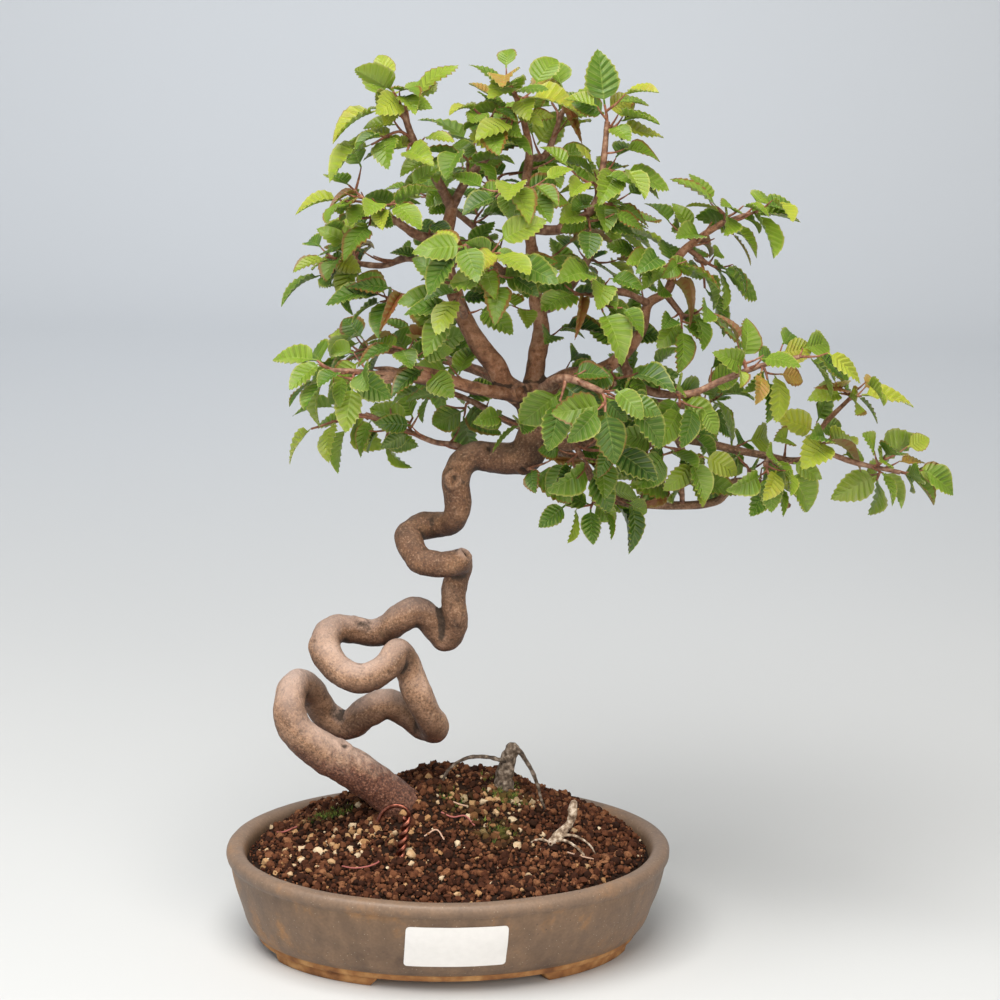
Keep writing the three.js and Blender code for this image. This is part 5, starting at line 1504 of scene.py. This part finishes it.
def leaf_surface(leaves, rng):
    """All leaves of a spray at once. Row t leaves the midrib at m = t^1.25 of the blade and meets the edge
    at e = m + 0.2 sin(pi t)^0.8, so each row slants like a vein. Height is the arch of the frame's leaf,
    plus fold times the distance from the midrib, plus a pleat that changes sign from row to row."""
    count = len(leaves)

    def each(key):
        """One value of every leaf, as an array."""
        return np.array([leaf[key] for leaf in leaves], float)

    def some(low, high):
        """A random number for every leaf, shaped to spread over its rows and columns."""
        return rng.uniform(low, high, (count, 1, 1))

    length, bend, dead = (each(key)[:, None, None] for key in ("length", "bend", "dead"))
    t = (np.clip(np.arange(ROWS) - 1, 0, None) / (ROWS - 2))[None, :, None]
    stalk = (np.arange(ROWS) == 0)[None, :, None]
    vein = (np.arange(ROWS) % 2 == 1)[None, :, None]
    v = np.array([-1.0, 0, 1.0])[None, None]
    edge = np.abs(v)
    midrib = t ** 1.25
    margin = midrib + 0.2 * np.sin(np.pi * t) ** 0.8
    blade = midrib + (margin - midrib) * edge
    tooth = np.where(vein, 1.04, 0.95) + rng.uniform(-0.03, 0.03, (count, ROWS, 3))
    forward = np.where(vein & (t > 0) & (t < 1), TOOTH_AHEAD, TOOTH_BACK) * edge
    s = STALK_SHARE + (1 - STALK_SHARE) * (blade + forward * (t > 0) * (t < 1))
    s = np.where(stalk, 0, s)
    narrow = np.where(dead > 0, DEAD_WIDTH, 1)
    wide = blade_width(np.clip(margin, 0, 1)) * BLADE_HALF_WIDTH
    lateral = v * wide * some(0.92, 1.12) * tooth * narrow
    least = np.where(t == 0, 0.5, 0.16) / length
    lateral = v * np.maximum(np.abs(lateral), least)
    fold = np.where(dead > 0, some(1.2, 2.4), some(0.05, 0.6))
    pleat = np.where(vein, -PLEAT, PLEAT) * np.where(edge > 0, 1, 0.25) * np.sin(np.pi * t ** 0.8) ** 0.5
    rise = bend * (ARCH_RISE * s - ARCH_DROP * s * s) + fold * np.abs(lateral) + pleat
    rise = rise + some(0, 0.03) * np.sin(7 * s + some(0, 6.3)) * edge + some(-0.6, 0.6) * s ** 2 * lateral
    rise = rise - dead * 0.5 * s ** 2

    def place(along, side, up):
        """Points in mm: base + (along A + side S + up F) times the leaf's length."""
        parts = zip((along, side, up), ("along", "side", "face"))
        shift = sum((a * length)[..., None] * each(k)[:, None, None] for a, k in parts)
        return each("base")[:, None, None] + shift

    s = np.broadcast_to(s, lateral.shape)
    upper = place(s, lateral, rise)
    thick = (0.55 - 0.35 * t) / length
    lower = place(s, lateral, rise - thick)[:, 1:-1, 1]
    points = np.concatenate([upper.reshape(count, -1, 3), lower], 1)
    size = points.shape[1]
    across, row = np.meshgrid([0, 0.5, 1], (np.arange(ROWS) - 1) / 2)
    uv = np.stack([across.ravel(), row.ravel()], -1)
    uv = np.concatenate([uv, np.stack([np.full(ROWS - 2, 0.5), row[1:-1, 1]], -1)])
    under = np.repeat([0.0, 1.0], [3 * ROWS, ROWS - 2])
    quads = LEAF_QUADS[None] + size * np.arange(count)[:, None, None]
    return points.reshape(-1, 3), quads.reshape(-1, 4), np.tile(uv, (count, 1)), np.tile(under, count), size


# %% Dress the sprays
leaf_green, leaf_shader = new_material("hornbeam_leaf")
twig_bark, twig_shader = new_material("young_hornbeam_bark")
leaf_rng = np.random.default_rng(77)
# A leaf's tone goes from 0, deep green, to 1, yellow. Outer and top leaves are painted lighter and yellower,
# over these mm, as painted light where more light reaches them.
TONE_MEAN, TONE_SPREAD, TONE_MOST = 0.34, 0.17, 0.88
OUTER_PAINTED_LIGHT, OUTER_FROM, OUTER_OVER = 0.28, 70, 80
TOP_PAINTED_LIGHT, TOP_FROM, TOP_OVER = 0.06, 380, 60
# A few leaves at the very tips are new and bronze.
FRESH_FROM, FRESH_SHARE = 110, 0.07
SCORCHED_SHARE, SCORCH_RANGE, UNSCORCHED = 0.3, (0.3, 1), 0.1
DEAD_KIND = 2.0
# Joints of young wood swell by up to this share. Steps and sides of its tubes.
JOINT_SWELL = 0.16
STEM_STEP, STEM_SIDES = 2.0, 9
TWIG_STEP, TWIG_SIDES = 2.6, 6


def leaf_patch(leaves):
    """The leaves of one owner with their tone, painted from dark, shaded inner to light, yellow outer ones,
    and their scorch.
    """
    points, quads, uv, under, size = leaf_surface(leaves, leaf_rng)
    base = np.array([leaf["base"] for leaf in leaves])
    out = np.linalg.norm(base - CROWN_HEART, axis=1)
    count = len(leaves)
    # Painted light: leaves far from the crown's heart and high up get a lighter, yellower tone.
    outer = OUTER_PAINTED_LIGHT * np.clip((out - OUTER_FROM) / OUTER_OVER, 0, 1)
    tone = leaf_rng.normal(TONE_MEAN, TONE_SPREAD, count) + outer
    tone += TOP_PAINTED_LIGHT * np.clip((base[:, 2] - TOP_FROM) / TOP_OVER, 0, 1)
    at_tip = np.array([leaf["at_tip"] for leaf in leaves])
    fresh = at_tip & (out > FRESH_FROM) & (leaf_rng.uniform(size=count) < FRESH_SHARE)
    tone = np.where(fresh, 1.0, np.clip(tone, 0, TONE_MOST))
    is_scorched = leaf_rng.uniform(size=count) < SCORCHED_SHARE
    scorch = np.where(is_scorched, leaf_rng.uniform(*SCORCH_RANGE, count), UNSCORCHED)
    scorch = np.where([leaf["dead"] > 0 for leaf in leaves], DEAD_KIND, scorch)
    return patch(points + POT_CENTRE, quads, (), uv, np.repeat(tone, size), np.repeat(scorch, size), under,
                 finish=1, smooth=False)


def young_wood(path, step, sides, tone, tip=0.62):
    """A stem or twig: smooth path, thinner to its tip, with a few joints swollen by noise."""
    fine = smooth_path(path, step)
    fine[:, :3] += POT_CENTRE
    fine[:, 3] *= np.linspace(1.0, tip, len(fine)) * (1 + JOINT_SWELL * value_noise(fine[:, :3], 3, 51))
    return tube(fine, sides, tone=tone)


for name in [*sprays, "limbs"]:
    stem, twigs = sprays.get(name, (None, []))
    patches = [] if stem is None else [young_wood(stem, STEM_STEP, STEM_SIDES, 0.3, tip=1.0)]
    patches += [young_wood(path, TWIG_STEP, TWIG_SIDES, 0.8) for path in twigs + shoots[name]]
    patches.append(leaf_patch([leaf for leaf in crown.leaves if leaf["spray"] == name]))
    build("spray_" + name, patches, [twig_bark, leaf_green], [name] if name in sprays else ())

# %% [markdown]
# A living leaf is satin above, where light glints on the raised pleats, and painted shade darkens the
# pleats' valleys along the veins. It is paler and duller below, and painted lighter there too, as painted
# light shining through. Its veins are light, its margin yellowish, and old leaves scorch to brown at the
# edge.

# %% Leaf finish
add = partial(node, leaf_green)
uv_map = add("TexCoord", take="UV")
parts = add("SeparateXYZ", {"Vector": uv_map}, take=None).outputs
across, along_rows = parts["X"], parts["Y"]
place = add("TexCoord", take="Object")
tone, scorch, under = (add("Attribute", attribute_name=key, take="Fac") for key in KEYS)
# Green varies over 8 mm, about the space of three veins.
mottle = add("TexNoise", {"Vector": place, "Scale": spaced(7.692), "Detail": 4})
shade = add("Math", {0: mottle, 1: 0.3, 2: tone}, operation="MULTIPLY_ADD")
shade = add("Math", {0: shade, 1: 0.15}, operation="SUBTRACT")
green = add("ValToRGB", {"Fac": shade}, stops=[
    (0.0, "#2C4713"), (0.3, "#4B6A1B"), (0.58, "#738B27"), (0.88, "#9FA535"), (1.0, "#9E7A3C")])
# The UV map runs from 0 to 1 across the blade, and by one from vein to vein along it.
off_rib = add("Math", {0: across, 1: 0.5}, operation="SUBTRACT")
off_rib = add("Math", {0: off_rib}, operation="ABSOLUTE")
rib = add("MapRange", {"Value": off_rib, "From Min": 0.035, "From Max": 0.0})
off_vein = add("Math", {0: along_rows, 1: 0.5}, operation="PINGPONG")
vein = add("MapRange", {"Value": off_vein, "From Min": 0.09, "From Max": 0.0})
# Painted shade: the pleats' valleys along the veins are darker, the ridges between them lighter.
pleat_painted_shade = add("MapRange", {"Value": off_vein, "From Max": 0.5, "To Min": 0.84, "To Max": 1.04})
lines = add("Math", {0: rib, 1: vein}, operation="MAXIMUM")
lines = add("Math", {0: lines, 1: 0.32}, operation="MULTIPLY")
edge = add("MapRange", {"Value": off_rib, "From Min": 0.43, "From Max": 0.5, "To Max": 0.6})
# Scorch comes in from the edge, farther where a leaf has more of it and where the green is mottled.
scorch_line = add("Math", {0: scorch, 1: 0.2, 2: off_rib}, operation="MULTIPLY_ADD")
scorch_line = add("Math", {0: mottle, 1: 0.12, 2: scorch_line}, operation="MULTIPLY_ADD")
burnt = add("MapRange", {"Value": scorch_line, "From Min": 0.60, "From Max": 0.66, "To Max": 0.85})
is_dead = add("MapRange", {"Value": scorch, "From Min": 1.3, "From Max": 1.6})
# The coats are laid one over the other, each by its share.
for share, coat, blend in (
    (1.0, pleat_painted_shade, "MULTIPLY"), (lines, "#A9B75C", "MIX"), (edge, "#B4B24A", "MIX"),
    (burnt, "#73391D", "MIX"), (is_dead, "#7C4A2C", "MIX"),
):
    green = add("MixRGB", {"Fac": share, "Color1": green, "Color2": coat}, blend_type=blend)
# Undersides are paler, as a hornbeam's are, and painted lighter still, as painted light shining through the
# leaf.
underside_pale_and_painted_light = add("MixRGB", {"Fac": 0.45, "Color1": green, "Color2": "#8C9C58"})
green = add("MixRGB", {"Fac": under, "Color1": green, "Color2": underside_pale_and_painted_light})
bump = add("Bump", {"Height": lines, "Strength": 0.5, "Distance": -0.3 * MM})
complete(leaf_green, leaf_shader, {
    "Base Color": green, "Roughness": 0.42, "Specular IOR Level": 0.35, "Subsurface Weight": 0.3,
    "Subsurface Radius": (0.6, 1.0, 0.25), "Subsurface Scale": 1.2 * MM, "Normal": bump})

# %% [markdown]
# The bark of twigs is thin, smooth and satin: grey-brown on the stems, red-brown on this year's wood.

# %% Twig finish
add = partial(node, twig_bark)
place = add("TexCoord", take="Object")
twig_tone = add("Attribute", attribute_name="tone", take="Fac")
twig_noise = add("TexNoise", {"Vector": place, "Scale": spaced(2.381), "Detail": 4})
old_twig = add("ValToRGB", {"Fac": twig_noise}, stops=[
    (0.3, "#553A2B"), (0.5, "#80604A"), (0.7, "#A58A74")])
new_twig = add("ValToRGB", {"Fac": twig_noise}, stops=[
    (0.3, "#5A3324"), (0.5, "#8A5238"), (0.7, "#A9765A")])
colour = add("MixRGB", {"Fac": twig_tone, "Color1": old_twig, "Color2": new_twig})
bump = add("Bump", {"Height": twig_noise, "Strength": 0.4, "Distance": 0.4 * MM})
complete(twig_bark, twig_shader, {"Base Color": colour, "Roughness": 0.6, "Normal": bump})

# %% [markdown]
# ## Roots, wire and sticker
# An old root stump and a pale root stand out of the soil with thin rootlets. Both are dry and matt: the
# stump has weathered to dark grey-brown, and the living root to a pale tan. They are tubes whose rings
# swell and pinch by noise, because a root that grew between stones is knobbly all round.

# %% Roots
# Rows of x, y, z and radius in mm, in the tree's own frame.
STUMP = [
    [27, 20, 62, 6.0], [27, 20, 76, 5.0], [28, 20, 84, 4.2], [29.6, 20, 91, 3.9], [31.4, 20, 96, 3.6],
    [32.4, 20, 98.4, 2.6],
]
STUMP_ROOTS = [
    [[28, 19, 90, 2.0], [25, 15, 91.8, 1.2], [18.5, 12, 94.2, 1.0], [10, 11, 94.2, 0.9],
     [3.3, 11, 91.2, 0.8], [-2, 10, 86, 0.7], [-5, 9, 78, 0.6]],
    [[31, 20, 95, 2.2], [34, 18.5, 96.2, 1.6], [38, 18, 91.5, 1.2], [42, 18, 84.5, 1.0], [45, 17.5, 77, 0.9],
     [46.5, 17, 71, 0.8], [50, 14, 62, 0.7]],
]
PALE_ROOT = [
    [49, -14, 52, 2.9], [52.5, -14, 58, 2.7], [57, -12, 63, 2.3], [61.5, -10, 68, 2.1], [62.5, -9, 74, 2.2],
    [63, -8, 78.5, 1.6],
]
PALE_ROOTLETS = [
    [[54, -14, 60, 1.1], [60, -17, 60, 0.7], [67, -19, 55.5, 0.6], [70, -20, 51, 0.5]],
    [[57, -13, 62, 1.0], [64, -14, 62, 0.6], [71, -15, 58, 0.5], [75, -16, 52, 0.45]],
    [[52, -14, 58, 1.0], [46, -16, 60.5, 0.6], [41, -18, 59, 0.45], [38, -19, 54, 0.4]],
]
ROOT_STEP = 0.8
root_bark, root_shader = new_material("dry_root_bark")


def gnarled(rows, sides, size, amount, seed, tone):
    """A tube whose points stand off its path by r (1 + amount * noise), with noise of a size in mm."""
    path = tree_path(rows, ROOT_STEP)
    made = tube(path, sides, tone=tone)
    centre = np.repeat(path[:, :3], sides, 0)
    body = made["points"][:-2]
    away = body - centre
    made["points"][:-2] = centre + away * (1 + amount * value_noise(body, size, seed))[:, None]
    return made


stump = [gnarled(STUMP, 20, 2.6, 0.26, 61, 0.12)]
stump += [gnarled(rows, 9, 2.2, 0.28, 62, 0.0) for rows in STUMP_ROOTS]
build("root_stump_bark", stump, [root_bark], ["root_stump"])
pale_root = [gnarled(PALE_ROOT, 16, 2.4, 0.25, 63, 0.95)]
pale_root += [gnarled(rows, 8, 2.0, 0.2, 64, 0.9) for rows in PALE_ROOTLETS]
build("pale_root_bark", pale_root, [root_bark], ["root_right"])

# %% Root finish
add = partial(node, root_bark)
place = add("TexCoord", take="Object")
root_tone = add("Attribute", attribute_name="tone", take="Fac")
root_noise = add("TexNoise", {"Vector": place, "Scale": spaced(2.0833), "Detail": 5})
root_dark = add("ValToRGB", {"Fac": root_noise}, stops=[
    (0.32, "#2A211A"), (0.5, "#57493D"), (0.68, "#8E8073")])
root_pale = add("ValToRGB", {"Fac": root_noise}, stops=[
    (0.34, "#5A4636"), (0.5, "#A08A74"), (0.66, "#D6C6B2")])
colour = add("MixRGB", {"Fac": root_tone, "Color1": root_dark, "Color2": root_pale})
bump = add("Bump", {"Height": root_noise, "Strength": 0.7, "Distance": 0.6 * MM})
complete(root_bark, root_shader, {"Base Color": colour, "Roughness": 0.85, "Normal": bump})

# %% [markdown]
# Two strands of annealed copper wire are twisted together where the root ball was tied down, and a
# longer end is bent over. Annealed copper is a metal, so its colour is its reflection, and weather has
# dulled it to red-brown with brighter places where it was handled.

# %% Wire
WIRE_LINE = [[-24, -34.5, 54, 1], [-22.6, -34, 63, 1], [-21.4, -33.5, 71, 1], [-20.4, -33, 77, 1]]
WIRE_HOOK = [
    [-20.4, -32, 76, 1.1], [-19.6, -33.4, 79.5, 1.1], [-22, -34, 82.5, 1.1], [-27, -33.4, 83, 1.1],
    [-31.8, -32.6, 80.2, 1.1], [-35, -31.8, 74, 1.1],
]
WIRE_TURNS = 2.6
WIRE_RADIUS = 1.3
WIRE_SIDES = 12
copper, copper_shader = new_material("annealed_copper_wire")
core = tree_path(WIRE_LINE, 0.6)
climb = np.linspace(0, 2 * np.pi * WIRE_TURNS, len(core))
strands = [tube(tree_path(WIRE_HOOK, 0.8), WIRE_SIDES)]
for start in (0, np.pi):
    around = np.stack([np.cos(climb + start), np.sin(climb + start), np.zeros_like(climb)], 1)
    strand = core.copy()
    strand[:, :3] += WIRE_RADIUS * around
    strand[:, 3] = WIRE_RADIUS
    strands.append(tube(strand, WIRE_SIDES))
build("twisted_tie_wire", strands, [copper], ["tie_wire"])

# %% Wire finish
add = partial(node, copper)
place = add("TexCoord", take="Object")
dull = add("TexNoise", {"Vector": place, "Scale": spaced(2), "Detail": 3})
colour = add("ValToRGB", {"Fac": dull}, stops=[(0.35, "#5C3026"), (0.6, "#945C4C")])
shine = add("MapRange", {"Value": dull, "To Min": 0.25, "To Max": 0.5})
complete(copper, copper_shader, {"Metallic": 1.0, "Base Color": colour, "Roughness": shine})

# %% [markdown]
# Moss has taken hold in a few damp places: dozens of tufts of short leafy threads that lean every way,
# matt and from deep to yellow green. Each thread is a thin spike, because hundreds of them only show as
# a soft fringe. Thin dry fibres of old root, pink and pale, lie between the granules.

# %% Moss
# Threads to a tuft, their lengths, width and start in mm, and how wide they lean.
TUFT_THREADS = 5
MOSS_LENGTH = (1.2, 3.6)
MOSS_WIDTH = 0.5
MOSS_SUNK = -1.0
MOSS_LEAN, MOSS_UPRIGHT = 0.75, 0.7
# What is laid on the soil lies this far above the bed, on the stones.
ON_STONES = 1.6
moss_rng = np.random.default_rng(5)


def laid(x, y, lift):
    """Points at a lift over the soil, for places of the tree's frame; x, y and lift are arrays."""
    plan = turned(np.stack([x, y, np.zeros_like(x)], -1))
    return np.column_stack([plan[:, :2], settle(plan[:, 0], plan[:, 1]) + lift + ON_STONES]) + POT_CENTRE


def blade_tufts(roots, tips, width, rng):
    """Threads as thin three-sided spikes: three points round the root and one at the tip."""
    count = len(roots)
    along = tips - roots
    across = np.cross(along, rng.normal(size=(count, 3)))
    across *= width / np.linalg.norm(across, axis=1, keepdims=True)
    third = np.cross(along, across) / np.linalg.norm(along, axis=1, keepdims=True)
    ring = [across, -0.5 * across + 0.87 * third, -0.5 * across - 0.87 * third]
    points = np.stack([roots + side for side in ring] + [tips], 1)
    faces = np.array([[0, 1, 3], [1, 2, 3], [2, 0, 3], [2, 1, 0]])
    tris = faces[None] + 4 * np.arange(count)[:, None, None]
    tone = np.repeat(rng.uniform(0, 1, count), 4)
    return patch(points.reshape(-1, 3), (), tris.reshape(-1, 3), tone=tone)


threads = []
for mx, my, rx, ry, count in MOSS_PATCHES:
    x = np.repeat(moss_rng.normal(mx, rx / 2, count), TUFT_THREADS)
    y = np.repeat(moss_rng.normal(my, ry / 2, count), TUFT_THREADS)
    roots = laid(x, y, np.full(len(x), MOSS_SUNK))
    lean = moss_rng.normal(0, MOSS_LEAN, (len(x), 3))
    lean[:, 2] = np.abs(lean[:, 2]) + MOSS_UPRIGHT
    reach = moss_rng.uniform(*MOSS_LENGTH, (len(x), 1))
    tips = roots + lean / np.linalg.norm(lean, axis=1, keepdims=True) * reach
    threads.append(blade_tufts(roots, tips, MOSS_WIDTH, moss_rng))
moss, moss_shader = new_material("cushion_moss")
build("moss_tufts", threads, [moss])
moss_tone = node(moss, "Attribute", attribute_name="tone", take="Fac")
moss_green = node(moss, "ValToRGB", {"Fac": moss_tone}, stops=[
    (0.0, "#2B3A14"), (0.6, "#52661F"), (1.0, "#858F3A")])
complete(moss, moss_shader, {"Base Color": moss_green, "Roughness": 0.8})

# %% Root fibres
# Each fibre is given by places on the soil in the tree's own frame, arches over it and is this thick.
FIBRE_RADIUS = 0.4
FIBRE_ARCH, LONG_FIBRE_ARCH = 1.4, 2.6
FIBRE_END = 0.15
FIBRES = [
    [(-4, -12), (2, -14), (8, -12), (13, -15)],
    [(2, -5), (5, -6), (9, -4)],
    [(-52, -42), (-46, -47), (-39, -47), (-34, -42), (-35, -38)],
    [(-12, -24), (-6, -22), (-2, -26)],
    [(-78, 6), (-84, 2), (-88, 6)],
    [(60, -22), (66, -26), (73, -24)],
]
fibre_paths = []
for k, places in enumerate(FIBRES):
    x, y = np.array(places, float).T
    arch = LONG_FIBRE_ARCH if len(places) > 4 else FIBRE_ARCH
    lifts = np.sin(np.linspace(FIBRE_END, np.pi - FIBRE_END, len(x))) * arch
    rows = np.column_stack([laid(x, y, lifts), np.full(len(x), FIBRE_RADIUS)])
    fibre_paths.append(tube(smooth_path(rows, 0.9), 6, tone=0.2 + 0.7 * (k % 2)))
fibre, fibre_shader = new_material("dry_root_fibre")
build("root_fibres", fibre_paths, [fibre])
fibre_tone = node(fibre, "Attribute", attribute_name="tone", take="Fac")
colour = node(fibre, "ValToRGB", {"Fac": fibre_tone}, stops=[(0.2, "#A9605A"), (0.9, "#C9A58E")])
complete(fibre, fibre_shader, {"Base Color": colour, "Roughness": 0.7})

# %% [markdown]
# A blank sticker of coated white paper is on the pot's front: smooth, half gloss, and a little uneven in
# its white where it lies on the glaze. It is a sheet of a real thickness bent along the wall, and it
# follows the wall's own formula, so that it lies on it everywhere.

# %% Sticker
LABEL_CENTRE, LABEL_HALF_LENGTH = -5, 25
LABEL_FROM, LABEL_TO = 16.6, 40.4
LABEL_CORNER = 2.0
LABEL_THICKNESS = 0.3
LABEL_LIFT = 0.15
LABEL_ROWS, LABEL_COLUMNS = 17, 41
# The wall's profile from above the foot to the top of the rim.
WALL_FROM = 9
wall_line = profile[:profile[:, 2].argmax()]
wall_line = wall_line[wall_line[:, 2] > WALL_FROM]
du = np.linspace(-1, 1, LABEL_COLUMNS)
dv = np.linspace(-1, 1, LABEL_ROWS)
half_high = (LABEL_TO - LABEL_FROM) / 2
u, v = np.meshgrid(du * LABEL_HALF_LENGTH, dv * half_high)
# Rounded corners: a point past the corner's circle is pulled back onto it.
cx, cy = LABEL_HALF_LENGTH - LABEL_CORNER, half_high - LABEL_CORNER
ox, oy = np.maximum(np.abs(u) - cx, 0), np.maximum(np.abs(v) - cy, 0)
past = np.maximum(np.hypot(ox, oy) / LABEL_CORNER, 1)
u = np.sign(u) * np.where(ox > 0, cx + ox / past, np.abs(u))
v = np.sign(v) * np.where(oy > 0, cy + oy / past, np.abs(v))
x, z = LABEL_CENTRE + u, (LABEL_FROM + LABEL_TO) / 2 + v


def on_wall(x, z, lift):
    """Points of the pot's front wall, y = -b sqrt(1 - (x/a)^2) with the half axes a and b at a height,
    lifted off it."""
    long_half, wide_half = (np.interp(z, wall_line[:, 2], wall_line[:, k]) for k in (0, 1))
    wall = np.stack([x, -wide_half * np.sqrt(1 - (x / long_half) ** 2), z], -1).reshape(-1, 3)
    return out_of_true(wall) - [0, lift, 0]


outer = on_wall(x, z, LABEL_LIFT + LABEL_THICKNESS)
inner = on_wall(x, z, LABEL_LIFT)
rows, columns = x.shape
front = grid_quads(rows, columns)
border = np.concatenate([
    np.arange(columns),
    np.arange(1, rows) * columns + columns - 1,
    (rows - 1) * columns + np.arange(columns - 2, -1, -1),
    np.arange(rows - 2, 0, -1) * columns,
])
ahead = np.roll(border, -1)
edge_quads = np.stack([border, border + len(outer), ahead + len(outer), ahead], 1)
label_quads = np.vstack([front, front[:, ::-1] + len(outer), edge_quads])
paper, paper_shader = new_material("coated_sticker_paper")
sticker = patch(np.vstack([outer, inner]) + POT_CENTRE, label_quads)
build("blank_sticker", [sticker], [paper], ["label"])
place = node(paper, "TexCoord", take="Object")
white = node(paper, "TexNoise", {"Vector": place, "Scale": spaced(3.333), "Detail": 3})
white = node(paper, "ValToRGB", {"Fac": white}, stops=[(0.3, "#E4E2E0"), (0.7, "#E9E7E5")])
complete(paper, paper_shader, {"Base Color": white, "Roughness": 0.45})

# %% Sizes and finish
low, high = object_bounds()
print("visual box in mm:", [round(1000 * v, 1) for v in (*low, *high)])
